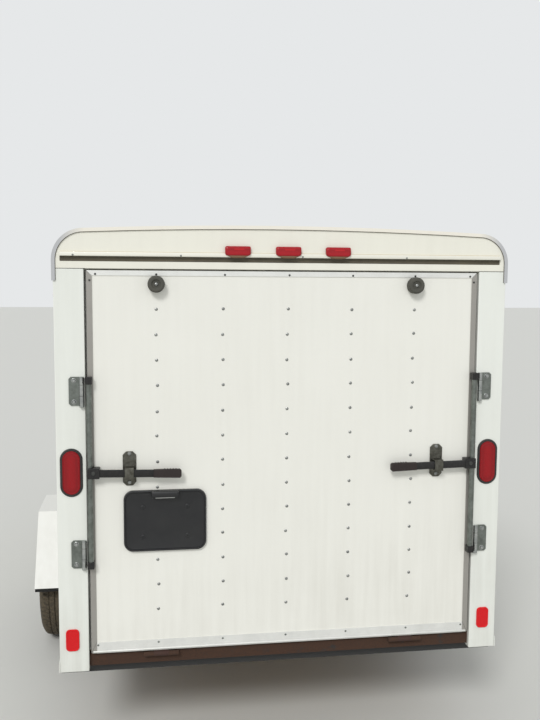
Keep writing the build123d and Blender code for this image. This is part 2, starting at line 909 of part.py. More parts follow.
# Lower trim along each side, either side of the fender
trim_half = fender_half + trim_gap
trim_spans = ((rear_y, axle_y - trim_half), (axle_y + trim_half, corner_y))
with BuildPart() as side_trim_right:
    with BuildSketch(Plane.YZ.offset(half_width)):
        for back, front in trim_spans:
            with Locations(((back + front) / 2, skirt_bottom + trim_height / 2)):
                Rectangle(front - back, trim_height)
    extrude(amount=trim_gauge)
with BuildPart() as side_trims:
    add(side_trim_right.part)
    mirror(about=Plane.YZ)
side_trims.part.label = "side_trims"
export_step(side_trims.part, "parts/side_trims.step")

# Stone guard: a sheet round the foot of the front wall
with BuildPart() as stone_guard:
    add(body_form(-skin, skirt_bottom))
    add(body_form(0, skirt_bottom - skin), mode=Mode.SUBTRACT)
    zone((-far, far), (corner_y, far), (skirt_bottom, skirt_bottom + guard_height))
stone_guard.part.label = "stone_guard"
export_step(stone_guard.part, "parts/stone_guard.step")

# Tongue rails: from the coupler, spread back under the chassis
tongue_back = front_y - tongue_lap
tongue_turn = radians(tongue_angle)
with BuildPart() as tongue_rails:
    for side, sign in sides:
        run = (sign * sin(tongue_turn), -cos(tongue_turn), 0)
        start = (sign * tongue_spread, tongue_front, (tongue_low + rail_low) / 2)
        with BuildSketch(Plane(origin=start, x_dir=(run[1], -run[0], 0), z_dir=run)):
            draw_tube(rail_width, rail_height)
        extrude(amount=(tongue_front - tongue_back) / cos(tongue_turn))
tongue_rails.part.label = "tongue_rails"
export_step(tongue_rails.part, "parts/tongue_rails.step")

# Coupler: plate over the tongue rails, neck, ball housing and latch lever
socket_radius = ball_radius + ball_gap
housing_radius = socket_radius + socket_wall
ball_y = nose_y - housing_radius
ball_z = rail_low + ball_rise
socket_low = ball_z - socket_radius
plate_top = rail_low + coupler_plate
neck_top = plate_top + neck_crown
plate_back = tongue_front - coupler_lap
plate_back_half = tongue_spread + coupler_lap * tan(tongue_turn) + rail_width / 2
neck_half = housing_radius - neck_inset
lever_start = housing_radius - socket_wall / 2
lever_outline = (
    # distance behind the ball, height over the neck
    (lever_start, -coupler_plate),
    (lever_length / 2, lever_gauge / 2),
    (lever_length, lever_gauge),
    (lever_length, 2 * lever_gauge),
    (lever_length / 2, 3 * lever_gauge / 2),
    (lever_start, lever_gauge),
)
with BuildPart() as coupler:
    with BuildSketch(Plane.XY.offset(rail_low)):
        with BuildLine():
            Polyline(
                (-plate_back_half, plate_back),
                (plate_back_half, plate_back),
                (neck_half, ball_y),
                (-neck_half, ball_y),
                close=True,
            )
        make_face()
    extrude(amount=coupler_plate)
    with BuildSketch(Plane.XY.offset(socket_low)):
        with Locations((0, ball_y)):
            Circle(housing_radius)
    extrude(amount=plate_top + coupler_crown - socket_low)
    with BuildSketch(Plane.XY.offset(rail_low)):
        with BuildLine():
            Polyline(
                (-plate_back_half / 2, plate_back),
                (plate_back_half / 2, plate_back),
                (neck_half, ball_y),
                (-neck_half, ball_y),
                close=True,
            )
        make_face()
    extrude(amount=neck_top - rail_low)
    with BuildSketch(Plane.YZ):
        with BuildLine():
            Polyline(*[(ball_y - back, neck_top + rise) for back, rise in lever_outline], close=True)
        make_face()
    extrude(amount=lever_gauge / 2, both=True)
    with BuildSketch(Plane.XY.offset(socket_low)):
        with Locations((0, ball_y)):
            Circle(socket_radius)
    extrude(amount=socket_radius + socket_over, mode=Mode.SUBTRACT)
    with BuildSketch(Plane.XY.offset(rail_low)):
        with Locations((0, jack_y)):
            Circle(jack_tube_radius)
    extrude(amount=neck_top - rail_low, mode=Mode.SUBTRACT)
coupler.part.label = "coupler"
export_step(coupler.part, "parts/coupler.step")

# Jack: outer tube with its bracket and crank, and the ram with its foot
jack_top = tongue_low + jack_tube_length
jack_bore = jack_tube_radius - jack_tube_gauge
with BuildPart() as jack_tube:
    with BuildSketch(Plane.XY.offset(tongue_low)):
        with Locations((0, jack_y)):
            Circle(jack_tube_radius)
    extrude(amount=jack_tube_length)
    with BuildSketch(Plane.XY.offset(neck_top)):
        with Locations((0, jack_y)):
            Rectangle(jack_bracket, jack_bracket)
    extrude(amount=jack_bracket_gauge)
    with BuildSketch(Plane.XY.offset(tongue_low)):
        with Locations((0, jack_y)):
            Circle(jack_bore)
    extrude(amount=jack_tube_length - jack_cap, mode=Mode.SUBTRACT)
    with BuildSketch(Plane.XY.offset(jack_top)):
        with Locations((0, jack_y)):
            Rectangle(crank_shaft, crank_shaft)
    extrude(amount=crank_rise)
    with BuildSketch(Plane.XY.offset(jack_top + crank_rise)):
        with Locations((crank_arm / 2, jack_y)):
            Rectangle(crank_arm + crank_bar[0], crank_bar[0])
    extrude(amount=crank_bar[1])
    with BuildSketch(Plane.XY.offset(jack_top + crank_rise + crank_bar[1])):
        with Locations((crank_arm, jack_y)):
            Circle(crank_grip_radius)
    extrude(amount=crank_grip_length)
jack_tube.part.label = "jack_tube"
export_step(jack_tube.part, "parts/jack_tube.step")

with BuildPart() as jack_ram:
    with BuildSketch(Plane.XY) as foot:
        with Locations((0, jack_y)):
            Rectangle(jack_foot, jack_foot)
        chamfer(foot.vertices(), length=jack_foot_corner)
    extrude(amount=jack_foot_gauge)
    with BuildSketch(Plane.XY.offset(jack_foot_gauge)):
        with Locations((0, jack_y)):
            Circle(jack_bore - jack_ram_gap)
    extrude(amount=tongue_low + jack_ram_lap - jack_foot_gauge)
jack_ram.part.label = "jack_ram"
export_step(jack_ram.part, "parts/jack_ram.step")

# Axle: straight tube with a drop arm and a spindle at each end. The hub closes in the rest
# of the spindle, which isn't drawn.
arm_x = half_width + arm_gap
with BuildPart() as axle:
    with BuildSketch(Plane.YZ):
        with Locations((axle_y, axle_z)):
            Circle(axle_tube / 2)
    extrude(amount=arm_x, both=True)
    for side, sign in sides:
        with BuildSketch(Plane.YZ.offset(sign * arm_x)):
            with Locations((axle_y, (axle_z + spindle_z) / 2)):
                Rectangle(arm_width, axle_drop + arm_width)
        extrude(amount=sign * arm_gauge)
        with BuildSketch(Plane.YZ.offset(sign * (arm_x + arm_gauge))):
            with Locations((axle_y, spindle_z)):
                Circle(spindle_radius)
        extrude(amount=sign * (wheel_x - hub_inner - spindle_gap - arm_x - arm_gauge))
axle.part.label = "axle"
export_step(axle.part, "parts/axle.step")

# Leaf springs on top of the axle, arched up to their eyes in the hangers
top_leaf_z = seat_z + (leaf_count - 1) * leaf_gauge
spring_rise = eye_z - top_leaf_z
leaf_reaches = [spring_reach - shorter * leaf_step for shorter in reversed(range(leaf_count))]
bend_places = [-reach for reach in reversed(leaf_reaches)] + [0] + leaf_reaches
with BuildPart() as leaf_springs:
    for side, sign in sides:
        with BuildSketch(Plane.YZ.offset(sign * rail_x)):
            for leaf, reach in enumerate(leaf_reaches):
                low = seat_z + leaf * leaf_gauge
                lower_edge = [
                    (axle_y + place, low + spring_rise * (place / spring_reach) ** 2)
                    for place in bend_places
                    if abs(place) <= reach
                ]
                upper_edge = [(y, z + leaf_gauge) for y, z in reversed(lower_edge)]
                with BuildLine():
                    Polyline(*lower_edge, *upper_edge, close=True)
                make_face()
            with Locations((axle_y - spring_reach, eye_z), (axle_y + spring_reach, eye_z)):
                Circle(eye_radius)
        extrude(amount=spring_width / 2, both=True)
leaf_springs.part.label = "leaf_springs"
export_step(leaf_springs.part, "parts/leaf_springs.step")

# Wheels: tyre, steel rim with its disc, hub with nuts and grease cap.
# Each is drawn as half a section, radius by distance out from the wheel's middle plane.
wheel_plane = Plane(origin=(wheel_x, axle_y, spindle_z), x_dir=(0, 0, 1), z_dir=(0, 1, 0))
wheel_axis = Axis((0, axle_y, spindle_z), (1, 0, 0))
tyre_height = tyre_radius - flange_radius
tyre_profile = (
    # share of the tyre's height, share of its half width
    (0.00, 1.00),
    (0.885, 1.00),
    (1.00, 0.84),
)
tyre_wall = [
    (flange_radius + height * tyre_height, share * tyre_width / 2) for height, share in tyre_profile
]
with BuildPart() as tyre:
    with BuildSketch(wheel_plane):
        with BuildLine():
            Polyline(*tyre_wall, *[(radius, -out) for radius, out in reversed(tyre_wall)], close=True)
        make_face()
    revolve(axis=wheel_axis)

with BuildPart() as rim:
    with BuildSketch(wheel_plane):
        with Locations((flange_radius - rim_gauge / 2, 0)):
            Rectangle(rim_gauge, rim_width)
        with Locations(((pilot_radius + flange_radius) / 2, disc_gauge / 2)):
            Rectangle(flange_radius - pilot_radius, disc_gauge)
    revolve(axis=wheel_axis)

with BuildPart() as hub:
    with BuildSketch(wheel_plane):
        with BuildLine():
            Polyline(
                (0, -hub_inner),
                (hub_radius, -hub_inner),
                (hub_radius, 0),
                (cap_radius, 0),
                (cap_radius, cap_out),
                (0, cap_out),
                close=True,
            )
        make_face()
    revolve(axis=wheel_axis)
    with BuildSketch(Plane.YZ.offset(wheel_x + disc_gauge)):
        with Locations((axle_y, spindle_z)):
            with PolarLocations(bolt_circle / 2, bolt_count):
                RegularPolygon(nut_radius, 6)
    extrude(amount=nut_length)

for piece, name in ((tyre, "tyre"), (rim, "rim"), (hub, "hub")):
    piece.part.label = f"{name}_right"
    export_step(piece.part, f"parts/{name}_right.step")
    with BuildPart() as twin:
        mirror(piece.part, about=Plane.YZ)
    twin.part.label = f"{name}_left"
    export_step(twin.part, f"parts/{name}_left.step")
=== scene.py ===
# %% [markdown]
# # An enclosed cargo trailer, dressed over its CAD solids
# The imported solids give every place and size, in metres, with the ground at Z = 0 and +Y the way the
# trailer is towed. This lesson gives them their finishes, and adds what is too fine for CAD: rivets,
# screws, lamp lenses, tyre tread, rounded edges and wear.

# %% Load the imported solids
import json
import math
import bmesh
import bpy
import numpy as np
from mathutils import Matrix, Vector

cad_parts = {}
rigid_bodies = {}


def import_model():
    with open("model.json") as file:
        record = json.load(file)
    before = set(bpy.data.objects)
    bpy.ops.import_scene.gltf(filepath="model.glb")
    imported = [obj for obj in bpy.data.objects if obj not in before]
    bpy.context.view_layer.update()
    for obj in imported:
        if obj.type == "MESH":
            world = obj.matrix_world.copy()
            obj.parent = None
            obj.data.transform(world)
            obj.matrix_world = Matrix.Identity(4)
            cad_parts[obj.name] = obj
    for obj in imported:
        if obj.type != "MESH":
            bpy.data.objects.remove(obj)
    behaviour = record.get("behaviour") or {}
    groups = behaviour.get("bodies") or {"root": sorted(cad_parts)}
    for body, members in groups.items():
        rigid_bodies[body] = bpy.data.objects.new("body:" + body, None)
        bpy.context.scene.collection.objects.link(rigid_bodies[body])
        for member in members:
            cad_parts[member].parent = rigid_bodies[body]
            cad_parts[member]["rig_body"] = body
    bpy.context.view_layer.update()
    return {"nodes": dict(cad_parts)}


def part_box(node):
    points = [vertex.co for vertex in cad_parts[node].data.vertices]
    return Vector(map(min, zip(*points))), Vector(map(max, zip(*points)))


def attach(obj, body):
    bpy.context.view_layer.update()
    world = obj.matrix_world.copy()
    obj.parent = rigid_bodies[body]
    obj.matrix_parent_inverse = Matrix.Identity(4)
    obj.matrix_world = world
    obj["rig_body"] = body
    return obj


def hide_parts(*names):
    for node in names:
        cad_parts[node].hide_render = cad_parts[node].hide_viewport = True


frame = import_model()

nodes = frame["nodes"]

# %% [markdown]
# Most pieces sit on the trailer's rear face, so that face and the door's levels are read once from the
# solids. A piece placed from them follows the CAD if a size changes there.


# %% Places read from the solids
def low(node):
    """Lowest corner of a node."""
    return np.array(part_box(node)[0])


def high(node):
    """Highest corner of a node."""
    return np.array(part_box(node)[1])


def middle(node):
    """Middle of a node's box."""
    return (low(node) + high(node)) / 2


X, Y, Z = np.eye(3)
SIDES = (-1, 1)
rear, front = low("rear_posts")[1], high("front_wall")[1]
half_width = high("wall_right")[0]
door_face = rear + 0.002
skin_face = low("ramp_panel")[1]
door_low = high("rear_sill")[2] + 0.007
door_half, door_thick, door_top = high("ramp_frame")
rail_top = door_top + 0.0045
wheel_x, axle_y, axle_z = middle("tyre_right")
handle_z = door_low + 0.748
rod_low, rod_high = low("bar_locks")[2], high("bar_locks")[2]
print("rear face", round(rear, 4), "door", round(door_low, 4), "to", round(door_top, 4))

# %% [markdown]
# ## Camera
# The photograph was taken by hand from behind and a little to the left, just above the middle of the
# door, looking slightly down. Its place was found by fitting the rivet rows and the level edges of the
# door. The camera's matrix is built from its three turns, so no constraint or target is needed.


# %% Camera
def placed(name, data):
    """A new object in the scene, at the origin."""
    made = bpy.data.objects.new(name, data)
    bpy.context.scene.collection.objects.link(made)
    return made


focal_pixels, picture_height, sensor = 820, 720, 36.0
yaw, pitch, roll = np.radians([-8.47, -5.40, 0.34])
level_right = np.array([math.cos(yaw), math.sin(yaw), 0.0])
level_ahead = np.array([-math.sin(yaw), math.cos(yaw), 0.0])
raised = Z * math.cos(pitch) - level_ahead * math.sin(pitch)
lens_data = bpy.data.cameras.new("camera")
lens_data.sensor_width = sensor
lens_data.lens = focal_pixels / picture_height * sensor
camera = placed("camera", lens_data)
columns = np.eye(4)
columns[:3, 0] = level_right * math.cos(roll) + raised * math.sin(roll)
columns[:3, 1] = raised * math.cos(roll) - level_right * math.sin(roll)
columns[:3, 2] = -(level_ahead * math.cos(pitch) + Z * math.sin(pitch))
columns[:3, 3] = (-0.558, rear - 3.258, 2.006)
camera.matrix_world = Matrix(columns.tolist())
bpy.context.scene.camera = camera
bpy.context.scene.view_settings.view_transform = "Standard"
print("lens", round(lens_data.lens, 2), "mm, camera at", np.round(columns[:3, 3], 3))

# %% [markdown]
# ## Colours and nodes
# Colours are noted as sRGB hex, as they look on a screen, but a shader works with linear light, so one
# function undoes the sRGB curve. A second adds a node, and fills its sockets with numbers, colours or
# links, which keeps each material short enough to read as a recipe.


# %% Colour and node helpers
def linear(code):
    """Linear RGBA of an sRGB hex colour: each channel has the sRGB curve taken off."""
    channels = np.array([int(code[i:i + 2], 16) for i in (1, 3, 5)]) / 255
    bent = np.where(channels <= 0.04045, channels / 12.92, ((channels + 0.055) / 1.055) ** 2.4)
    return (*bent.tolist(), 1.0)


def fill(node, inputs):
    """Gives sockets a number, a hex colour or a link. A node given as a value stands for its first output."""
    for socket, value in inputs.items():
        if isinstance(value, bpy.types.Node):
            value = value.outputs[0]
        if isinstance(value, bpy.types.NodeSocket):
            node.id_data.links.new(value, node.inputs[socket])
        else:
            node.inputs[socket].default_value = linear(value) if isinstance(value, str) else value


def add(tree, kind, inputs=(), **settings):
    """Adds one shader node with its settings and inputs."""
    made = tree.nodes.new("ShaderNode" + kind)
    for name, value in settings.items():
        setattr(made, name, value)
    fill(made, dict(inputs))
    return made


made_here = {}


def new_material(name):
    """An empty material with a Principled shader, and Object coordinates, which are real metres here."""
    material = made_here[name] = bpy.data.materials.new(name)
    material.use_nodes = True
    tree = material.node_tree
    tree.nodes.clear()
    shader = add(tree, "BsdfPrincipled")
    shader.name = "shader"
    add(tree, "OutputMaterial", {"Surface": shader})
    return tree, shader, add(tree, "TexCoord").outputs["Object"]


def per(millimetres):
    """Scale of a noise whose features are this large, on coordinates in metres."""
    return 1000.0 / millimetres


def parted(tree, shader, mask, colours, roughness, bump, full=1.0):
    """Two colours, and two roughnesses if they are given, parted by a mask that is full at full.

    bump is its strength, its depth in metres and its height. Returns its node.
    """
    colour = add(tree, "Mix", {0: mask, 6: colours[0], 7: colours[1]}, data_type="RGBA")
    if isinstance(roughness, tuple):
        smooth, rough = roughness
        roughness = add(tree, "MapRange", {"Value": mask, "From Max": full, "To Min": smooth, "To Max": rough})
    relief = add(tree, "Bump", dict(zip(("Strength", "Distance", "Height"), bump)))
    fill(shader, {"Base Color": colour.outputs[2], "Roughness": roughness, "Normal": relief})
    return relief


print("white enamel in linear light:", np.round(linear("#e4e3da"), 3))

# %% [markdown]
# ## Baked enamel on sheet metal
# The walls, posts, header and fenders are sheet metal with a baked white enamel. It is smooth and half
# glossy, it yellows a little with age, and road film gathers low down and in faint vertical runs. The
# thin sheet also bulges slightly between its rivets. So a clean colour is mixed with a dirt colour where
# a streaky noise and the height say so, and a broad, very shallow bump gives the waves of the sheet.


# %% Enamel
def enamel(name, clean, dirt, amount, waves):
    """Enamel: clean colour with road film that grows downwards and runs in streaks."""
    tree, shader, place = new_material(name)
    streaks = add(tree, "Mapping", {"Vector": place, "Scale": (1.0, 1.0, 0.06)})
    runs = add(tree, "TexNoise", {"Vector": streaks, "Scale": per(28), "Detail": 4.0})
    clouds = add(tree, "TexNoise", {"Vector": place, "Scale": per(420), "Detail": 5.0})
    specks = add(tree, "TexNoise", {"Vector": place, "Scale": per(5), "Detail": 2.0})
    height = add(tree, "SeparateXYZ", {"Vector": place}).outputs["Z"]
    # film is full at 0.3 m above the ground and thin from 1.2 m up
    film = add(tree, "MapRange", {"Value": height, "From Min": 1.2, "From Max": 0.3, "To Min": 0.25})
    patchy = add(tree, "Math", {0: runs, 1: clouds}, operation="MULTIPLY")
    strong = add(tree, "MapRange", {"Value": patchy, "From Min": 0.14, "From Max": 0.42, "To Max": amount * 4})
    mask = add(tree, "Math", {0: strong, 1: film}, operation="MULTIPLY")
    bulge = add(tree, "TexNoise", {"Vector": place, "Scale": per(260), "Detail": 1.0})
    wave = add(tree, "Bump", {"Strength": waves, "Distance": 0.004, "Height": bulge})
    grit = parted(tree, shader, mask, (clean, dirt), (0.32, 0.62), (0.05, 0.0006, specks), full=0.6)
    fill(grit, {"Normal": wave})
    fill(shader, {"Coat Weight": 0.12})


enamels = (
    # name, clean, dirt, amount of film, height of the sheet's waves
    ("panel_enamel", "#e8e7df", "#8f8876", 0.05, 0.30),
    ("frame_enamel", "#e5e7e0", "#857d6c", 0.07, 0.10),
    ("header_enamel", "#e8e6da", "#8d8470", 0.05, 0.08),
    ("fender_enamel", "#dadad5", "#9a9384", 0.03, 0.04),
    ("rim_enamel", "#d8d7d1", "#6f6657", 0.22, 0.05),
    ("moulding_enamel", "#ebe6da", "#8d8470", 0.05, 0.04),
)
for recipe in enamels:
    enamel(*recipe)
print("enamels:", [recipe[0] for recipe in enamels])

# %% [markdown]
# ## Bare metals
# Mill-finish aluminium extrusions show fine lines along their length and a soft, cloudy tarnish. Zinc
# plate on the locks has gone dull and blotchy. Treadplate has raised bars in alternating directions.
# The colour is the reflection's tint, and the roughness decides how blurred it is.


# %% Aluminium, zinc and treadplate
def bare_metal(name, bright, dull, rough, blotch, line=(1.0, 1.0, 1.0), metal=1.0):
    """Metal with a cloudy tarnish, and with line a fine grain stretched along that direction.

    metal is under 1 where a chalky oxide covers part of the surface.
    """
    tree, shader, place = new_material(name)
    clouds = add(tree, "TexNoise", {"Vector": place, "Scale": per(blotch), "Detail": 6.0, "Roughness": 0.65})
    tarnish = add(tree, "MapRange", {"Value": clouds, "From Min": 0.35, "From Max": 0.68})
    stretch = add(tree, "Mapping", {"Vector": place, "Scale": line})
    grain = add(tree, "TexNoise", {"Vector": stretch, "Scale": per(2.0), "Detail": 3.0})
    parted(tree, shader, tarnish, (bright, dull), (rough - 0.08, rough + 0.14), (0.10, 0.0004, grain))
    fill(shader, {"Metallic": metal})


upright_grain, level_grain = (1.0, 1.0, 0.03), (0.03, 1.0, 1.0)
metals = (
    # name, bright, tarnished, roughness, size of its blotches in mm, grain, share of bare metal
    ("mill_aluminium", "#dededa", "#c4c5c1", 0.42, 90, upright_grain, 0.7),
    ("aluminium_across", "#e6e6e2", "#d2d3ce", 0.40, 90, level_grain, 0.6),
    # door_aluminium's near-white is partly a painted reflection of the sky on the door's rails
    ("door_aluminium", "#eeeeea", "#dededa", 0.42, 90, upright_grain, 0.50),
    ("rivet_aluminium", "#a9aaa7", "#7d7f7e", 0.45, 12),
    ("zinc_plate", "#868b86", "#6a6e69", 0.42, 26),
    ("dark_zinc", "#666765", "#40413f", 0.50, 18),
    ("hasp_zinc", "#6f6e66", "#4c4a43", 0.46, 20),
    ("bright_zinc", "#c4c6c3", "#979a99", 0.32, 30),
    ("treadplate", "#c2c4c3", "#a3a6a6", 0.30, 120),
)
for recipe in metals:
    bare_metal(*recipe)

tree = made_here["treadplate"].node_tree
place = add(tree, "TexCoord").outputs["Object"]
bars = []
for turn in (45.0, -45.0):
    # bars 25 mm apart in each direction, raised by a millimetre
    slanted = add(tree, "Mapping", {"Vector": place, "Rotation": (0.0, math.radians(turn), 0.0)})
    wave = add(tree, "TexWave", {"Vector": slanted, "Scale": per(25) / 20 * math.pi}, bands_direction="X")
    bars.append(wave.outputs["Fac"])
cells = add(tree, "TexChecker", {"Vector": place, "Scale": per(25) * 0.5}).outputs["Fac"]
pattern = add(tree, "Mix", {0: cells, 2: bars[0], 3: bars[1]}, data_type="FLOAT")
ridge = add(tree, "MapRange", {"Value": pattern, "From Min": 0.6, "From Max": 0.9})
raised_bars = add(tree, "Bump", {"Strength": 0.8, "Distance": 0.001, "Height": ridge})
fill(tree.nodes["shader"], {"Normal": raised_bars})
print("metals:", [recipe[0] for recipe in metals])

# %% [markdown]
# The door's rails are near white and its upright extrusions darker: a painted reflection, as the rails stand
# for aluminium that mirrors the bright sky. The moulding round the roof is cream along the top and grey down
# its sides. Both are one node with one finish, so a second colour is mixed in by the distance from the trailer's
# middle.


# %% A second colour at the sides
def sided(name, start, end, colour, mitre=None):
    """Mixes a second colour into a material's own, from start to end metres out from the middle.

    mitre is the height and half width of a corner, whose mitre then parts the two colours.
    """
    tree = made_here[name].node_tree
    shader = tree.nodes["shader"]
    own = shader.inputs["Base Color"].links[0].from_socket
    parts = add(tree, "SeparateXYZ", {"Vector": add(tree, "TexCoord").outputs["Object"]})
    out = add(tree, "Math", {0: parts.outputs["X"]}, operation="ABSOLUTE")
    share = add(tree, "MapRange", {"Value": out, "From Min": start, "From Max": end})
    if mitre:
        past = add(tree, "Math", {0: out, 1: parts.outputs["Z"]}, operation="SUBTRACT")
        under = add(tree, "Math", {0: past, 1: mitre[1] - mitre[0]}, operation="GREATER_THAN")
        share = add(tree, "Math", {0: share, 1: under}, operation="MULTIPLY")
    mixed = add(tree, "Mix", {0: share, 6: own, 7: colour}, data_type="RGBA")
    fill(shader, {"Base Color": mixed.outputs[2]})
    print("by side:", name)


# darker stiles against near-white rails: a painted reflection of the sky on the rails
sided("door_aluminium", door_half - 0.0235, door_half - 0.0215, "#a09d97", (rail_top, door_half))
sided("moulding_enamel", 0.80, 0.895, "#b4b5b7")

# %% [markdown]
# ## Steel under paint and rust
# The chassis is black paint over welded steel, dusty and chipped in patches. The rear sill has lost most of
# its paint and shows brown rust. Both are two colours and two roughnesses, parted by a hard edged noise,
# with the rust lying a little higher than the paint.


# %% Chassis paint and rust
def worn_paint(name, paint, worn, share, paint_rough, worn_rough, patch):
    """Paint with patches of another finish. share is how much of the surface has lost its paint."""
    tree, shader, place = new_material(name)
    broad = add(tree, "TexNoise", {"Vector": place, "Scale": per(patch), "Detail": 8.0, "Roughness": 0.7})
    edge = 0.62 - share * 0.3
    mask = add(tree, "MapRange", {"Value": broad, "From Min": edge - 0.03, "From Max": edge + 0.05})
    fine = add(tree, "TexNoise", {"Vector": place, "Scale": per(4), "Detail": 4.0})
    shade = add(tree, "Mix", {0: fine, 6: worn, 7: paint}, data_type="RGBA").outputs[2]
    crust = add(tree, "Math", {0: mask, 1: fine}, operation="MULTIPLY")
    parted(tree, shader, mask, (paint, shade), (paint_rough, worn_rough), (0.35, 0.0012, crust))


paints = (
    # name, paint, worn, share worn, roughness of each, size of the patches in mm
    ("chassis_black", "#1f2021", "#4b4338", 0.35, 0.42, 0.8, 110),
    ("rusty_sill", "#231d1a", "#51331f", 0.80, 0.62, 0.90, 60),
    ("rusty_hinge", "#2c211d", "#4c2f25", 0.90, 0.60, 0.88, 14),
    ("handle_black", "#111010", "#2c2826", 0.25, 0.45, 0.60, 9),
)
for recipe in paints:
    worn_paint(*recipe)
print("paints:", [recipe[0] for recipe in paints])

# %% [markdown]
# ## Plywood
# The deck and the ramp's inside are bare plywood, with long, wavy grain and darker latewood lines. A wave
# texture gives the lines, a noise stretched along the grain shades them, and the bump lifts the grain a
# little. The grain runs along the deck, and up the ramp and the wall sheets.


# %% Plywood
def plywood(name, stretch):
    """Rotary-cut veneer. stretch is small along the grain, so that its lines run that way."""
    tree, shader, place = new_material(name)
    along = add(tree, "Mapping", {"Vector": place, "Scale": stretch})
    # rings 150 mm apart before a slow noise bends them to between 20 and 150 mm, as the cut meets the log
    rings = add(tree, "TexWave", {"Vector": along, "Scale": 2 * math.pi * per(150) / 10, "Distortion": 26.0,
                                  "Detail": 2.0, "Detail Scale": 0.9}, bands_direction="DIAGONAL").outputs["Fac"]
    fibre = add(tree, "TexNoise", {"Vector": along, "Scale": per(3), "Detail": 4.0})
    stain = add(tree, "TexNoise", {"Vector": place, "Scale": per(350), "Detail": 4.0})
    light_wood = add(tree, "Mix", {0: fibre, 6: "#b89768", 7: "#9c7a4d"}, data_type="RGBA").outputs[2]
    lines = add(tree, "MapRange", {"Value": rings, "From Min": 0.55, "To Max": 0.45})
    grained = add(tree, "Mix", {0: lines, 6: light_wood, 7: "#7c5b36"}, data_type="RGBA").outputs[2]
    trodden = add(tree, "MapRange", {"Value": stain, "From Min": 0.5, "From Max": 0.8, "To Max": 0.45})
    parted(tree, shader, trodden, (grained, "#5d5142"), 0.72, (0.25, 0.0008, fibre))
    print("wood:", name)


plywood("deck_plywood", (1.0, 0.11, 1.0))
plywood("upright_plywood", (1.0, 1.0, 0.11))

# %% [markdown]
# ## Rubber, moulded plastic and dipped vinyl
# These are matt and dark. What tells them apart is their grain and their dust: rubber is chalky, moulded
# plastic has a fine even texture, and the dipped vinyl of the grips is a smooth brownish red. The tyre
# is dusty all over, in patches.


# %% Rubber, plastic, vinyl
def moulded(name, body_colour, dust, dust_share, rough, grain_size, grain_height, patch=70):
    """Soft or moulded material: a dark body colour under a film of dust in patches of that many mm."""
    tree, shader, place = new_material(name)
    clouds = add(tree, "TexNoise", {"Vector": place, "Scale": per(patch), "Detail": 6.0, "Roughness": 0.6})
    film = add(tree, "MapRange", {"Value": clouds, "From Min": 0.38, "From Max": 0.70,
                                  "To Min": dust_share * 0.35, "To Max": dust_share})
    grain = add(tree, "TexNoise", {"Vector": place, "Scale": per(grain_size), "Detail": 2.0})
    parted(tree, shader, film, (body_colour, dust), (rough, min(rough + 0.3, 1.0)), (0.3, grain_height, grain))


soft_finishes = (
    # name, body, dust, share of dust, roughness, size of the grain in mm, its height in metres
    ("tyre_rubber", "#1e1c19", "#736650", 0.62, 0.78, 3, 0.0006, 16),
    ("black_rubber", "#1b1b1c", "#56534d", 0.25, 0.68, 2, 0.0004),
    ("bumper_rubber", "#42423c", "#6a675d", 0.35, 0.80, 2, 0.0004),
    ("black_plastic", "#16171a", "#4c4a46", 0.12, 0.38, 1.5, 0.0003),
    ("vinyl_grip", "#1e1211", "#382e2a", 0.25, 0.60, 4, 0.0004),
    ("dark_gap", "#0f0f10", "#2a2927", 0.20, 0.85, 2, 0.0003),
    ("gasket", "#4a453a", "#6c6555", 0.60, 0.85, 6, 0.0004),
    ("old_sealant", "#d6cbb2", "#b9ab8c", 0.50, 0.70, 3, 0.0003),
    ("aged_base", "#7d6248", "#5f4c39", 0.50, 0.60, 3, 0.0003),
)
for recipe in soft_finishes:
    moulded(*recipe)
print("soft finishes:", [recipe[0] for recipe in soft_finishes])

# %% [markdown]
# ## Lamp lenses
# A lens is clear coloured acrylic, polished outside, with small prisms moulded inside that break up the
# light. From outside that reads as a deep colour with a fine glittering grid under a glossy skin. A
# Voronoi pattern of 4 mm cells gives the grid, with a painted glint: a lighter colour in the middle of
# each cell. The coat gives the skin.


# %% Lenses
def lens(name, deep, bright):
    """Coloured acrylic over moulded prisms, with a painted glint in the middle of each prism's cell."""
    tree, shader, place = new_material(name)
    prisms = add(tree, "TexVoronoi", {"Vector": place, "Scale": per(4), "Randomness": 0.15}, feature="F1")
    glint = add(tree, "MapRange", {"Value": prisms, "From Max": 0.7})
    parted(tree, shader, glint, (bright, deep), 0.22, (0.25, 0.0008, prisms))
    fill(shader, {"Specular IOR Level": 0.25, "Coat Weight": 0.15, "Coat Roughness": 0.08})
    print("lens:", name)


lens("red_lens", "#90141c", "#b81c26")
lens("deep_lens", "#7e0e14", "#ac1820")
lens("vivid_lens", "#c81018", "#e81c22")
# lens for the painted highlight bars on the identification lamps
lens("optic_lens", "#b01a20", "#d02428")
lens("amber_lens", "#b8690f", "#eda02b")
lens("clear_lens", "#a9aaa6", "#dcdcd6")

# %% [markdown]
# ## A finish for every solid
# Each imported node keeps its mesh, and its material slots get the material that Blender has under the
# finish's name. The record's own flat materials are loaded too, and seven of them have the name of a finish
# made above. Those are what is found, so the axle, leaf springs, main rails, crossmembers and the side
# door's frame show a flat colour. The record names coarser finishes, so a second table says which of its
# slots a finish belongs to, where the names differ.

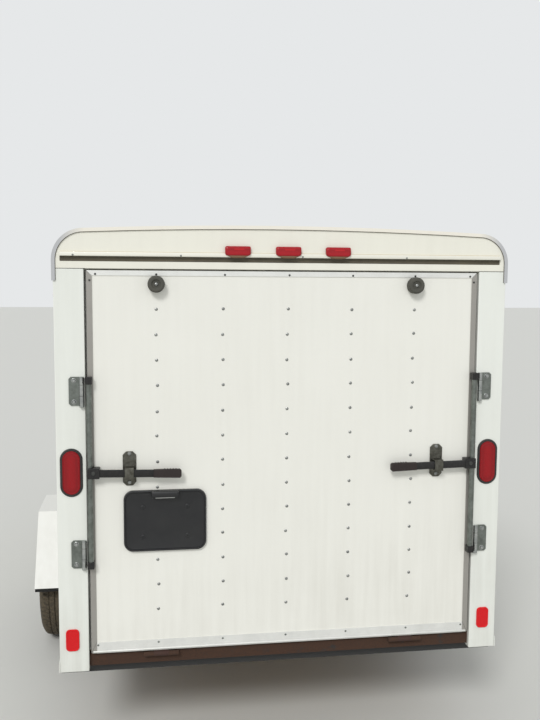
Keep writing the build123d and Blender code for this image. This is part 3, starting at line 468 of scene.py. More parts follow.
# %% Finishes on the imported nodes
finishes = {
    "panel_enamel": "wall_left wall_right front_wall roof ramp_panel side_door nose_cap",
    "frame_enamel": "rear_posts coves side_trims",
    "fender_enamel": "fenders",
    "header_enamel": "rear_header",
    "moulding_enamel": "rear_moulding",
    "rim_enamel": "rim_left rim_right",
    "door_aluminium": "ramp_frame",
    "mill_aluminium": "side_door_frame",
    "treadplate": "stone_guard",
    "zinc_plate": "bar_locks lock_keepers side_door_fittings",
    "hasp_zinc": "hasps",
    "bright_zinc": "jack_tube jack_ram hub_left hub_right",
    "deck_plywood": "floor",
    "upright_plywood": "ramp_board",
    "chassis_black": "main_rails crossmembers tongue_rails coupler axle leaf_springs",
    "rusty_sill": "rear_sill",
    "tyre_rubber": "tyre_left tyre_right",
    "black_rubber": "door_bumpers lamp_grommets",
    "black_plastic": "plate_holder",
    "vinyl_grip": "lock_grips",
    "red_lens": "red_lamps",
    "deep_lens": "tail_lamps",
    "vivid_lens": "rear_reflectors",
    "amber_lens": "amber_lamps",
}
record_slots = {
    "white_enamel": "panel_enamel frame_enamel header_enamel fender_enamel old_sealant clear_lens",
    "rim_white": "rim_enamel",
    "mill_aluminium": "door_aluminium aluminium_across rivet_aluminium",
    "zinc_steel": "zinc_plate dark_zinc hasp_zinc bright_zinc handle_black",
    "rusty_steel": "rusty_sill rusty_hinge",
    "plywood": "upright_plywood",
    "tyre": "tyre_rubber",
    "black_rubber": "bumper_rubber dark_gap gasket",
    "red_lens": "deep_lens vivid_lens optic_lens aged_base",
}
slot_of = {finish: slot for slot, group in record_slots.items() for finish in group.split()}
for finish, dressed in finishes.items():
    for name in dressed.split():
        for slot in nodes[name].material_slots:
            slot.material = bpy.data.materials[finish]
print("dressed:", sum(len(dressed.split()) for dressed in finishes.values()), "of", len(nodes))

# %% [markdown]
# ## Surfaces from arrays
# Every new piece is a grid of points worked out as one array, and the faces between neighbouring rows
# and columns. Two kinds cover nearly everything here: outlines stacked on each other, which give plates,
# lenses and pads, and a profile turned round an axis, which gives rivets, bolts and wheels. A form's own
# measures are in millimetres, and its place is in metres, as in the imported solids.

# %% Grids, stacked outlines and turned profiles
MM = 0.001


def grid_faces(rows, columns):
    """Quads between neighbouring rows of points, whose last column joins the first."""
    row = np.arange(rows - 1)[:, None] * columns
    column = np.arange(columns)[None, :]
    after = (column + 1) % columns
    corners = np.stack([row + column, row + after, row + columns + after, row + columns + column], -1)
    return corners.reshape(-1, 4)


def lifted(centre, right, up, flat, rises):
    """Outlines laid out along right and up from the centre, each lifted by its rise along right x up."""
    rises = rises[:, None, None] * np.cross(right, up)
    points = np.array(centre) + MM * (flat[..., :1] * right + flat[..., 1:] * up + rises)
    return points.reshape(-1, 3), grid_faces(*flat.shape[:2])


def stacked(centre, right, up, size, radius, rings, steps=5):
    """Stacked rounded rectangles: each ring draws the outline in by its inset and lifts it by its rise.

    The ends shrink to the middle line, which closes the form.
    """
    half = np.array(size, float) / 2
    insets, rises = np.array([(min(half), rings[0][1]), *rings, (min(half), rings[-1][1])], float).T
    quarter = np.linspace(0, np.pi / 2, steps + 1)
    angles = np.concatenate([quarter + corner * np.pi / 2 for corner in range(4)])
    signs = np.repeat([[1, 1], [-1, 1], [-1, -1], [1, -1]], steps + 1, axis=0)
    shrunk = np.clip(half - insets[:, None], 0, None)[:, None, :]
    bend = np.minimum(np.clip(radius - insets, 0, None)[:, None, None], shrunk)
    flat = (shrunk - bend) * signs + bend * np.stack([np.cos(angles), np.sin(angles)], -1)
    return lifted(centre, right, up, flat, rises)


def drawn(centre, right, up, outline, rings):
    """Any outline stacked the same way. An inset shrinks it towards its middle, in width and height alike."""
    half = np.abs(outline).max(axis=0)
    insets, rises = np.array([(half.max(), rings[0][1]), *rings, (half.max(), rings[-1][1])], float).T
    flat = np.array(outline) * np.clip(1 - insets[:, None] / half, 0, 1)[:, None]
    return lifted(centre, right, up, flat, rises)


def turned(centre, axis, profile, steps):
    """A profile of (radius, distance along the axis) turned once round the axis."""
    aside = np.cross(axis, Z if abs(axis[2]) < 0.9 else X)
    angle = np.linspace(0, 2 * np.pi, steps, endpoint=False)
    circle = np.cos(angle)[:, None] * aside + np.sin(angle)[:, None] * np.cross(axis, aside)
    radius, out = MM * np.array(profile, float).T
    points = np.array(centre) + radius[:, None, None] * circle + out[:, None, None] * axis
    return points.reshape(-1, 3), grid_faces(len(profile), steps)


def studs(places, axis, profile, steps):
    """One turned form copied to each place, as a single array."""
    points, faces = turned((0, 0, 0), axis, profile, steps)
    copies = np.array(places, float)[:, None] + points
    shifts = np.arange(len(places))[:, None, None] * len(points)
    return copies.reshape(-1, 3), (faces + shifts).reshape(-1, 4)


def carried(path, section, side):
    """A section carried along a path. Its first axis stays as near to side as the path allows."""
    path, section = np.array(path, float), MM * np.array(section, float)
    along = np.gradient(path, axis=0)
    along /= np.linalg.norm(along, axis=1, keepdims=True)
    lift = np.cross(along, side)
    lift /= np.linalg.norm(lift, axis=1, keepdims=True)
    aside = np.cross(lift, along)
    points = path[:, None] + section[None, :, :1] * aside[:, None] + section[None, :, 1:] * lift[:, None]
    ends = np.repeat(points[[0, -1]].mean(axis=1, keepdims=True), len(section), axis=1)
    points = np.concatenate([ends[:1], points, ends[1:]])
    return points.reshape(-1, 3), grid_faces(len(points), len(section))


def oval(wide, tall, steps):
    """Section of an oval bead."""
    turn = np.linspace(0, 2 * np.pi, steps, endpoint=False)
    return np.stack([wide * np.cos(turn), tall * np.sin(turn)], -1)


def strip(start, bottom, end, top):
    """Section of a flat strip."""
    return [(start, bottom), (end, bottom), (end, top), (start, top)]


def mirrored(half):
    """An outline and its mirror image, as one."""
    return half + [(-x, z) for x, z in half[::-1]]


def joined(*forms):
    """Several forms as one."""
    counts = np.cumsum([0] + [len(points) for points, faces in forms[:-1]])
    return (np.concatenate([points for points, faces in forms]),
            np.concatenate([faces + count for (points, faces), count in zip(forms, counts)]))


print("a grid of 3 by 4 points has", len(grid_faces(3, 4)), "faces")

# %% [markdown]
# A finished piece has its doubled points merged, which closes seams and poles, and its normals turned
# outwards. Shading is smooth, with edges over 35 degrees left sharp. It then rides on the CAD body that
# carries it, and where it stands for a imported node, that node is hidden.


# %% Finished pieces
def dress(mesh, name, finish, body="trailer", stands_for=(), sharp=35, bevel=0.0, merge=2e-6, slot=None):
    """Closes and shades a mesh, and places it as a piece on its body. It rides with the node that it stands for."""
    work = bmesh.new()
    work.from_mesh(mesh)
    bmesh.ops.remove_doubles(work, verts=work.verts, dist=merge)
    bmesh.ops.dissolve_degenerate(work, edges=work.edges, dist=1e-7)
    bmesh.ops.recalc_face_normals(work, faces=work.faces)
    work.to_mesh(mesh)
    work.free()
    mesh.shade_smooth()
    mesh.set_sharp_from_angle(angle=math.radians(sharp))
    mesh.materials.clear()
    mesh.materials.append(made_here[finish])
    made = placed(name, mesh)
    if bevel:
        rounding = made.modifiers.new("rounding", "BEVEL")
        rounding.width = bevel
        rounding.segments = 2
        rounding.limit_method = "ANGLE"
        rounding.angle_limit = math.radians(40)
        rounding.harden_normals = False
    if stands_for:
        body = nodes[stands_for[0]]["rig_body"]
    slot = slot or slot_of.get(finish, finish)
    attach(made, body)
    if stands_for:
        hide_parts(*stands_for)
    print(f"{name}: {len(mesh.polygons)} faces on {body}")
    return made


def piece(name, form, finish, *where, **how):
    """Makes one object from an array form. where and how go on to dress."""
    points, faces = form
    mesh = bpy.data.meshes.new(name)
    mesh.from_pydata(points.tolist(), [], faces.tolist())
    return dress(mesh, name, finish, *where, **how)


def softened(node, finish, width, name=None, chosen=None):
    """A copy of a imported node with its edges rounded, which stands for the node.

    chosen picks some of its faces by their centres, where one node has two finishes.
    """
    mesh = nodes[node].data.copy()
    if chosen:
        work = bmesh.new()
        work.from_mesh(mesh)
        others = [face for face in work.faces if not chosen(face.calc_center_median())]
        bmesh.ops.delete(work, geom=others, context="FACES")
        work.to_mesh(mesh)
        work.free()
    return dress(mesh, name or node + "_rounded", finish, stands_for=(node,), bevel=width, merge=1e-5)


# %% [markdown]
# ## Rounded edges on the folded and cast parts
# Real sheet is folded and castings are fettled, so no edge is razor sharp, and the thin highlight along
# an edge is what makes a form readable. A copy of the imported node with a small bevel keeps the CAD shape.

# %% Rounded copies
rounded_nodes = (
    # node, finish, bevel in metres
    ("rear_posts", "frame_enamel", 0.003),
    ("rear_header", "header_enamel", 0.002),
    ("fenders", "fender_enamel", 0.0012),
    ("lock_grips", "vinyl_grip", 0.0035),
    ("hasps", "hasp_zinc", 0.0012),
    ("rear_sill", "rusty_sill", 0.0015),
    ("side_door_fittings", "zinc_plate", 0.0010),
    ("coupler", "chassis_black", 0.0025),
    ("tongue_rails", "chassis_black", 0.0030),
)
for node, finish, width in rounded_nodes:
    softened(node, finish, width)

parted_nodes = (
    # node, its finish, its other finish, bevel, name of the other part, test for the other part
    ("ramp_frame", "door_aluminium", "rusty_hinge", 0.0018, "door_knuckles",
     lambda centre: centre.z < door_low - 0.0008),
    ("bar_locks", "zinc_plate", "handle_black", 0.0016, "handles_and_cams",
     lambda centre: abs(centre.z - handle_z) < 0.026 or not rod_low + 0.036 < centre.z < rod_high - 0.036),
)
copies = {}
for node, finish, other, width, name, test in parted_nodes:
    copies[node] = softened(node, finish, width, None, lambda centre: not test(centre))
    softened(node, other, width, name, test)

# %% [markdown]
# The door's top rail is an extrusion of its own, 20 mm wide, set a little closer under the header than the
# rest of the frame says. So the top edge of the frame and of the panel are drawn up by a few millimetres.

# %% Top rail of the ramp door
panel_copy = softened("ramp_panel", "panel_enamel", 0.0)
for made in (copies["ramp_frame"], panel_copy):
    heights = np.empty(3 * len(made.data.vertices))
    made.data.vertices.foreach_get("co", heights)
    heights[2::3] += np.interp(heights[2::3], (door_top - 0.023, door_top - 0.022, door_top), (0.0, 0.0065, 0.0045))
    made.data.vertices.foreach_set("co", heights)
    made.data.update()
print("rail from", round(door_top - 0.0155, 4), "to", round(rail_top, 4))

# %% [markdown]
# ## Rivets and screws of the ramp door
# Five columns of blind rivets hold the skin to the door's frame. They are 4 inches apart, set by hand, so
# they wander by a few millimetres: a seeded scatter. The edge frame is screwed down at the rivet columns
# along its top and bottom, and once near the top of each stile, with pan heads. Those on top and on the
# stiles are painted dark and those along the bottom pale: painted light and shade on like heads.

# %% Door rivets and screws
PITCH = 0.1016
rng = np.random.default_rng(12)
grid_x, grid_z = np.meshgrid([-0.526, -0.263, 0.0, 0.263, 0.526], 1.900 - PITCH * np.arange(13))
scatter = rng.normal(0, 0.0016, (2, grid_x.size))
rivet_places = np.stack([grid_x.ravel() + scatter[0], np.full(grid_x.size, skin_face), grid_z.ravel() + scatter[1]], -1)
rivet = ((6.6, -0.6), (6.4, 0.8), (4.2, 2.4), (0, 3))
piece("door_rivets", studs(rivet_places, -Y, rivet, 10), "rivet_aluminium", "ramp_door")

screw = ((4.4, -0.4), (4.2, 1), (2.8, 2.2), (0, 2.4))
upper_places = [(x, door_face, door_top - 0.010) for x in (-0.760, -0.525, -0.255, 0.005, 0.2665, 0.529, 0.765)]
upper_places += [(side * (door_half - 0.013), door_face, door_top - 0.034) for side in SIDES]
lower_places = [(x, door_face, door_low + 0.032) for x in (-0.768, -0.526, -0.263, 0.0, 0.257, 0.520, 0.765)]
# dark top screws and pale foot screws differ only by painted light and shade
piece("frame_screws", studs(upper_places, -Y, screw, 10), "dark_zinc", "ramp_door")
piece("foot_screws", studs(lower_places, -Y, screw, 10), "zinc_plate", "ramp_door")

# %% [markdown]
# The extrusion's lower edge is turned out into a small drip bead, which catches the light as a bright
# line along the bottom of the door, and its corners are mitred, which shows as a thin dark line. Behind it
# the door shuts against a black rubber bulb on the jambs and the header, which makes the gap look dark.

# %% Drip bead, mitres and door seal
bead_line = [(x, door_face - 0.0005, door_low + 0.004) for x in np.linspace(-door_half + 0.008, door_half - 0.008, 9)]
piece("door_drip_bead", carried(bead_line, oval(4.2, 3, 12), Z), "aluminium_across", "ramp_door")

mitres = []
for side in SIDES:
    for edge_z, step_z in ((rail_top, -0.020), (door_low, 0.045)):
        ends = [(side * (door_half - 0.001), door_face, edge_z + step_z * 0.05),
                (side * (door_half - 0.022), door_face, edge_z + step_z)]
        mitres.append(carried(np.linspace(*ends, 3), strip(-0.6, -0.3, 0.6, 0.3), Y))
piece("frame_mitres", joined(*mitres), "dark_gap", "ramp_door")

seal_x, seal_z, seal_bend = door_half - 0.006, door_top - 0.026, 0.02
seal_y = (door_thick + rear + 0.047) / 2
corner_turn = np.linspace(0, np.pi / 2, 5)
seal_line = [(-seal_x, seal_y, door_low + 0.02)]
seal_line += [(-seal_x + seal_bend - seal_bend * math.cos(a), seal_y, seal_z + seal_bend * math.sin(a))
              for a in corner_turn]
seal_line += [(seal_x - seal_bend + seal_bend * math.sin(a), seal_y, seal_z + seal_bend * math.cos(a))
              for a in corner_turn]
seal_line += [(seal_x, seal_y, door_low + 0.02)]
piece("door_seal", carried(seal_line, oval(8.5, 1.9, 10), Y), "black_rubber")

# %% [markdown]
# ## Rubber bumpers
# Two thick rubber discs keep the lowered door off the ground. Each has a rounded rim and a shallow dish
# in its middle with the round head of its bolt.

# %% Bumpers
bumper = [(0, 0), (32.5, 0), (33.5, 3), (33.5, 28), (32.7, 32.5), (30.5, 35.6), (27, 37.2), (23, 37.4), (19, 36.4),
          (16.5, 33.5), (15, 31.2), (0, 30.5)]
bumper_bolt = [(0, 29.5), (7.8, 29.5), (7.8, 31.5), (6.6, 34.5), (4, 36.2), (0, 36.7)]
spots = [(side * (high("door_bumpers")[0] - 0.0335), door_face, middle("door_bumpers")[2]) for side in SIDES]
piece("rubber_bumpers", joined(*[turned(spot, -Y, bumper, 48) for spot in spots]), "bumper_rubber",
      stands_for=("door_bumpers",))
piece("bumper_bolts", joined(*[turned(spot, -Y, bumper_bolt, 24) for spot in spots]), "rivet_aluminium", "ramp_door",
      slot="zinc_steel")

# %% [markdown]
# ## Keepers, handles and hasps of the bar locks
# The keepers are bolted to the posts with two bolts each. Their barrels are rolled from the plate in
# three knuckles, so two thin lines part them. The handles pivot on a rivet in their fork, and the hasps
# have a swivel flap over the handle with a raised band at its top and bottom.

# %% Keeper bolts and knuckle lines
keeper_high = high("lock_keepers")
keepers = [(side, z) for side in SIDES for z in (low("lock_keepers")[2] + 0.006, keeper_high[2] - 0.113)]
bolt_head = ((7.8, -0.5), (7.8, 1.2), (6.2, 1.2), (6.2, 5.2), (5.2, 6), (0, 6))
washer = ((9.5, -0.5), (9.5, 0.8), (8.8, 1.2), (0, 1.2))
bolt_places = [(side * (keeper_high[0] - 0.020), rear - 0.005, z + rise) for side, z in keepers
               for rise in (0.0145, 0.0985)]
piece("keeper_bolts", joined(studs(bolt_places, -Y, bolt_head, 6), studs(bolt_places, -Y, washer, 20)), "bright_zinc",
      sharp=25)
barrel_x, barrel_y = door_half + 0.022, rear - 0.009
barrel = ((0, -60), (8, -60), (9.15, -59), (9.15, 59), (8, 60), (0, 60))
knuckle_line = ((9, -0.9), (9.4, -0.7), (9.4, 0.7), (9, 0.9))
barrel_places = [(side * barrel_x, barrel_y, z + 0.0535) for side, z in keepers]
line_places = [(side * barrel_x, barrel_y, z + rise) for side, z in keepers for rise in (0.038, 0.082)]
piece("keeper_barrels", studs(barrel_places, Z, barrel, 28), "bright_zinc")
piece("keeper_knuckle_lines", studs(line_places, Z, knuckle_line, 24), "dark_zinc")

# %% Fork pivots, grip ribs and hasp flaps
rod_x = door_half - 0.005
droop = math.radians(1.2)
pivot_places = [(side * (rod_x - 0.015), door_face - 0.039, handle_z) for side in SIDES]
piece("fork_pivots", studs(pivot_places, -Y, ((8.5, -1), (8.5, 1), (7, 3), (0, 3.8)), 24), "dark_zinc", "ramp_door")

rib = ((0.8, -2.4), (0, -1), (0, 1), (0.8, 2.4))
grip_end = 0.359 - 0.022
ribs = [stacked((side * (rod_x - reach), door_face - 0.032, handle_z - reach * math.tan(droop)), Y, Z, (18.6, 34.6), 5,
                rib, 4) for side in SIDES for reach in grip_end - 0.011 * np.arange(5)]
piece("grip_ribs", joined(*ribs), "vinyl_grip", "ramp_door")

hasp_x, hasp_face, _ = low("hasps") + (0.0265, 0, 0)
bands = [stacked((-side * hasp_x, hasp_face + 0.0006, handle_z - 0.0032 + rise), side * X, side * Z, (30, 7), 2,
                 ((0, -1.2), (0.8, 0.4)), 3) for side in SIDES for rise in (-0.0145, 0.0145)]
hasp_stud = ((7.5, -1), (7.5, 1.4), (5.8, 3.6), (0, 4.4))
hasp_studs = [turned((-side * hasp_x, skin_face - 0.005, handle_z + rise), -Y, hasp_stud, 20)
              for side in SIDES for rise in (-0.048, 0.068)]
piece("hasp_bands", joined(*bands), "dark_zinc", "ramp_door")
piece("hasp_studs", joined(*hasp_studs), "rivet_aluminium", "ramp_door")

# %% [markdown]
# ## Tail lamps and reflectors
# Each tail lamp is an oval lamp pressed into a black rubber grommet, whose fat rounded rim rolls over the
# post. The lens is a shallow dome with a raised border. The reflectors low on the posts are moulded in
# one piece, with a raised border round a flat field of prisms. All are one stacked outline.

# %% Tail lamps and reflectors
post_x = middle("tail_lamps")[0] + (half_width - 0.058)
lamp_z, reflector_z = middle("tail_lamps")[2], middle("rear_reflectors")[2]
grommet_rings = [(0, -1), (0, 1.5), (1.2, 4), (4, 5.6), (7.5, 5.8), (10, 4.4), (11, 2)]
lens_rings = [(0, 1), (0, 6), (1.4, 7.6), (4, 7.8), (5.2, 6.6), (10, 7.4), (20, 8.6), (30, 9.2)]
reflector_rings = [(0, -0.5), (0, 3.5), (1.2, 5.5), (4.2, 5.8), (5.6, 4.4), (6, 4), (20, 4.2)]
on_posts = (
    # name, half distance on each side, height, size, corner, rings, steps, finish, node
    ("oval_grommets", (-post_x, post_x), lamp_z, (88, 194), 44, grommet_rings, 14, "black_rubber", "lamp_grommets"),
    ("oval_lenses", (-post_x, post_x), lamp_z, (68, 174), 34, lens_rings, 14, "deep_lens", "tail_lamps"),
    ("moulded_reflectors", (-post_x - 0.006, post_x), reflector_z, (53, 90), 16, reflector_rings, 8, "vivid_lens",
     "rear_reflectors"),
)
for name, places_x, z, size, radius, rings, steps, finish, node in on_posts:
    pair = [stacked((x, rear, z), X, Z, size, radius, rings, steps) for x in places_x]
    piece(name, joined(*pair), finish, stands_for=(node,))

# %% [markdown]
# ## Identification and side marker lamps
# The three lamps on the sloped fascia hang over its lip. Each has a base with its lower corners cut away,
# like a boat, whose plastic has aged to brown, and over it a red lens with round corners. The side markers
# are small lamps on white bases, turned to face sideways.

# %% Identification lamps
lean = np.array([0.0, 0.012, 0.107])
lean /= np.linalg.norm(lean)
lip_top = np.array([0.0, rear, high("rear_header")[2] - 0.107])
top_corners = mirrored([(45 + 6 * math.cos(a), 16 + 6 * math.sin(a)) for a in np.radians([0, 30, 60, 90])])
keel = mirrored([(-50, -9.5), (-40, -16.5), (-28, -22), (-18, -23.5)])
foot = mirrored([(-51, -8), (-47, -13), (-38, -16.2)])
boat = [(0.97 * x, 0.93 * z) for x, z in top_corners] + keel
lamps, boats, glints, ambers, bases = [], [], [], [], []
for x in (-0.2045, -0.0015, 0.2015):
    spot = lip_top + (x, 0, 0) + lean * 0.0045
    boats.append(drawn(spot, X, lean, boat, [(0, 0), (0, 15), (3, 17.2)]))
    lamps.append(drawn(spot, X, lean, top_corners + foot, [(0, 2), (0, 15), (1.5, 18.5), (4.5, 20.5), (11, 21.2)]))
    # a lighter red bar on each lens is a painted highlight: the image of the lamp's reflector
    glints.append(stacked(spot + lean * 0.0090 + (0.004, 0, 0), X, lean, (42, 7), 3, ((0, 20), (0.8, 21.4)), 3))
_, amber_y, marker_z = middle("amber_lamps")
red_y = rear + 0.150
for side in SIDES:
    for forms, y in ((lamps, red_y), (ambers, amber_y)):
        spot = (side * half_width, y, marker_z)
        forms.append(stacked(spot, side * Y, Z, (66, 26), 8, [(0, 3), (0, 8), (1.8, 11.8), (5, 13.6), (10, 14)], 6))
        bases.append(stacked(spot, side * Y, Z, (74, 34), 10, [(0, -1), (0, 3), (1, 4)], 6))
piece("red_lamp_lenses", joined(*lamps), "red_lens", stands_for=("red_lamps",))
piece("amber_lamp_lenses", joined(*ambers), "amber_lens", stands_for=("amber_lamps",))
piece("lamp_painted_glints", joined(*glints), "optic_lens")
piece("lamp_boats", joined(*boats), "aged_base")
piece("marker_bases", joined(*bases), "header_enamel")

# %% [markdown]
# ## Header lip and seams
# The drip lip is screwed on with four small screws, with old sealant along its top. The dark brown strip in
# the groove under it is painted shade, where the lip keeps the light off. The moulding's inner edge follows
# the roof's camber, which falls from the middle as the square of the distance, and then a quarter circle
# down to the post. A thin dark seam runs along it, and under the seam the fascia's skin stands forward to
# meet the moulding. A thin open seam parts the header from each post.

# %% Lip screws, gasket and seams
lip_places = [(x, rear - 0.010, lip_top[2] - 0.0120) for x in (-0.843, -0.429, 0.056, 0.487)]
piece("lip_screws", studs(lip_places, -Y, ((4, -0.4), (3.8, 1), (2.6, 2), (0, 2.2)), 10), "rivet_aluminium")
# a dark strip in the groove under the lip: painted shade
groove = (0, rear + 0.009, lip_top[2] - 0.026)
piece("groove_painted_shade", stacked(groove, X, Z, (1784, 19.2), 1, [(0, -0.5), (0, 3.5), (1, 4.5)], 2), "gasket")
lip_line = [(x, rear - 0.0004, lip_top[2] + 0.0006) for x in (-0.892, 0.0, 0.892)]
piece("lip_sealant", carried(lip_line, strip(-1.4, -1.2, 1.4, 1.4), Y), "old_sealant")

edge_x, corner_x = high("rear_moulding")[0] - 0.014, 0.802
arc = edge_x - corner_x
camber_x = np.linspace(-0.80, 0.80, 33)
camber_z = high("rear_moulding")[2] - 0.014 - 0.0295 * camber_x ** 2
bend = np.linspace(0, np.pi / 2, 15)
round_corner = np.stack([corner_x + arc * np.sin(bend), camber_z[-1] - arc + arc * np.cos(bend)], -1)
edge = np.concatenate([[(-edge_x, 2.010)], (round_corner * [-1, 1])[::-1], np.stack([camber_x, camber_z], -1),
                       round_corner, [(edge_x, 2.010)]])
over_lip = edge[edge[:, 1] > lip_top[2]]
fascia_z = lip_top[2] + 0.045
fascia = np.concatenate([[(-edge_x, lip_top[2])], over_lip, [(edge_x, lip_top[2])]]) - (0, fascia_z)
piece("fascia_skin", drawn((0, rear + 0.0130, fascia_z), X, Z, fascia / MM, [(0, 0), (0, 12.6)]), "header_enamel")
piece("moulding_seam", carried(np.insert(edge, 1, rear, axis=1), strip(-1.2, -1.8, 6, 0.3), Y), "gasket")
seams = [stacked((side * (half_width - 0.0605), rear, high("rear_posts")[2]), X, Z, (118, 1.5), 0.4,
                 [(0, -1), (0, 0.4)], 1) for side in SIDES]
piece("post_seams", joined(*seams), "dark_gap")

# %% [markdown]
# ## Number-plate holder
# The holder is a moulded black plastic tray with round corners. It has a raised rim, a flat floor with
# four holes for the plate, and a small lamp housing over its top edge with a clear lens underneath.

# %% Plate holder
holder_x, _, holder_z = middle("plate_holder")
tray_rings = [(0, -0.5), (0, 10), (1.2, 13), (3.5, 14), (6.5, 13.6), (8.5, 11.5), (9.2, 8), (15, 6.8), (80, 6.6)]
tray = stacked((holder_x, skin_face, holder_z), X, Z, (330, 249), 38, tray_rings, 12)
hood = stacked((holder_x, skin_face - 0.006, holder_z + 0.1110), X, Z, (110, 26), 7,
               [(0, 0), (0, 21), (2, 25.5), (6, 27.5)], 6)
piece("plate_tray", joined(tray, hood), "black_plastic", stands_for=("plate_holder",))
glass = stacked((holder_x, skin_face - 0.020, holder_z + 0.0975), X, Y, (80, 18), 6, [(0, -1.2), (0, 0.8), (1.5, 2)], 5)
piece("plate_lamp_lens", glass, "clear_lens", "ramp_door")
boss = ((0, 6), (9.5, 6), (9.5, 8.8), (8.5, 9.4), (4, 9.4), (3.8, 7.2), (0, 7.2))
boss_places = [(holder_x + x, skin_face, holder_z - 0.006 + z) for x in (-0.0889, 0.0889) for z in (-0.0603, 0.0603)]
piece("plate_bosses", studs(boss_places, -Y, boss, 20), "black_plastic", "ramp_door")

# %% [markdown]
# ## Tyres
# A tyre is a profile turned round the axle whose outer surface dips where a groove or a sipe runs. The
# radius is a function of two numbers: the place across the tread and the angle round the wheel. Four
# straight grooves and angled cuts at the shoulders are subtracted from it, with soft walls.

# %% Treaded tyre
tyre_radius = high("tyre_right")[2] - axle_z
WHEELS = ((1, "right"), (-1, "left"))


def tyre_form(side):
    """Half circle of side wall, round shoulders and a tread cut by grooves, turned round the axle."""
    # across the section: distance out from the middle, and radius before the tread is cut
    wall = MM * np.array([(-72, 203.1), (-80, 208.5), (-90.5, 224), (-97.5, 248), (-101, 270), (-101.5, 290),
                          (-98.5, 307), (-93, 318), (-86.5, 327), (-80, 333.5)])
    crown_out = np.linspace(-0.0745, 0.0745, 61)
    crown = np.stack([crown_out, tyre_radius - 0.0004 - 0.0062 * (np.abs(crown_out) / 0.0745) ** 2.4], -1)
    bore = [(0.0690, 0.2031), (-0.0690, 0.2031)]
    section = np.concatenate([wall, crown, (wall * [-1, 1])[::-1], bore])
    angles = np.linspace(0, 2 * np.pi, 432, endpoint=False)
    out, radius = section[:, :1], section[:, 1:]
    # grooves run round, cuts run across at the shoulders and shift by half a step from side to side
    cut = np.zeros((len(section), len(angles)))
    for centre in (-0.045, -0.0155, 0.0155, 0.045):
        cut = np.maximum(cut, np.clip(1.6 - np.abs(out - centre) / 0.0026, 0, 1))
    slant = angles / (2 * np.pi) * 72 + np.abs(out) * 14 + 0.5 * (out > 0)
    across = np.clip(1.5 - np.abs((slant % 1.0) - 0.5) / 0.11, 0, 1)
    sipes = 0.55 * np.clip(1.3 - np.abs((slant % 1.0) - 0.25) / 0.06, 0, 1)
    shoulder = (np.abs(out) > 0.048) & (np.abs(out) < 0.0840)
    rib = (np.abs(out) < 0.042) & (np.abs(np.abs(out) - 0.030) < 0.012)
    cut = np.maximum(np.maximum(cut, across * shoulder), sipes * rib)
    radius = radius - 0.0065 * cut * (radius > 0.322)
    ring = np.stack([out + 0 * radius, radius * np.cos(angles), radius * np.sin(angles)], -1)
    points = np.concatenate([ring, ring[:1]]) * [side, 1, 1] + (side * wheel_x, axle_y, axle_z)
    return points.reshape(-1, 3), grid_faces(len(points), len(angles))


for side, name in WHEELS:
    piece(f"treaded_tyre_{name}", tyre_form(side), "tyre_rubber", stands_for=(f"tyre_{name}",), sharp=28)

# %% [markdown]
# ## Rims and hubs
# The rim is rolled from strip: two flanges that hold the beads, a drop centre between them, and a dished
# disc with eight windows welded inside. The disc is a polar grid whose faces are left out where a window
# is, and a Solidify modifier gives it the thickness of the steel. A bearing hub lies behind the disc, with
# a pressed grease cap in front of it.

# %% Rim, disc and hub
barrel_outside = [(203, -70), (203, -67), (190, -63), (188.5, -48), (172, -40), (169, 6), (172, 20), (188.5, 34),
                  (190, 62), (203, 67), (203, 70)]
barrel_inside = [(200.5, 70), (197.5, 68.5), (187, 65), (185.2, 36), (169, 22.5), (165.5, 6), (169, -42),
                 (185.2, -50), (187, -65), (197.5, -68.5), (200.5, -70), (203, -70)]
disc_rings = MM * np.array([(42, 4.5), (46, 3), (78, 3), (86, 5), (102, 19), (110, 22), (116, 22.5), (140, 22.5),
                            (158, 22.5), (164, 22.5), (165.5, 15)])
hub = [(0, -72), (42, -72), (44, -68), (44, -24), (60, -16), (60, -1), (40.5, 0), (40, 8), (29, 9.5), (27.2, 12),
       (27, 56), (25.5, 61), (20, 64.5), (10, 65.8), (0, 66)]
nut = [(0, 5.5), (11, 5.5), (12, 8), (12, 20), (10.4, 23.5), (6.8, 23.8), (6.6, 22.2), (6, 22.2)]
stud = [(6.4, 20), (6.4, 27.5), (5.5, 29), (0, 29)]


def disc_form(middle_point, side):
    """Dished disc as a polar grid, radius by angle, with eight windows left out."""
    angle = np.linspace(0, 2 * np.pi, 96, endpoint=False)
    circle = np.stack([0 * angle, np.cos(angle), np.sin(angle)], -1)
    points = (disc_rings[:, :1, None] * circle + disc_rings[:, 1:, None] * X) * [side, 1, 1] + middle_point
    faces = grid_faces(len(disc_rings), len(angle))
    ring, step = np.divmod(np.arange(len(faces)), len(angle))
    window = ((ring == 6) | (ring == 7)) & (step % 12 < 6)
    return points.reshape(-1, 3), faces[~window]


around = np.arange(5) * 2 * np.pi / 5 + np.pi / 2
bolt_radius = 0.05715
for side, name in WHEELS:
    body, spot = f"wheel_{name}", (side * wheel_x, axle_y, axle_z)
    rim = turned(spot, side * X, barrel_outside + barrel_inside, 96)
    piece(f"rolled_rim_{name}", rim, "rim_enamel", stands_for=(f"rim_{name}",))
    disc = piece(f"windowed_disc_{name}", disc_form(spot, side), "rim_enamel", body, sharp=60)
    steel = disc.modifiers.new("steel", "SOLIDIFY")
    steel.thickness = 0.0045
    steel.offset = 0.0
    piece(f"grease_hub_{name}", turned(spot, side * X, hub, 56), "bright_zinc", stands_for=(f"hub_{name}",))
    nut_places = np.stack([np.full(5, spot[0]), axle_y + bolt_radius * np.cos(around),
                           axle_z + bolt_radius * np.sin(around)], -1)
    nuts = joined(studs(nut_places, side * X, nut, 6), studs(nut_places, side * X, stud, 16))
    piece(f"wheel_nuts_{name}", nuts, "bright_zinc", body, sharp=25)

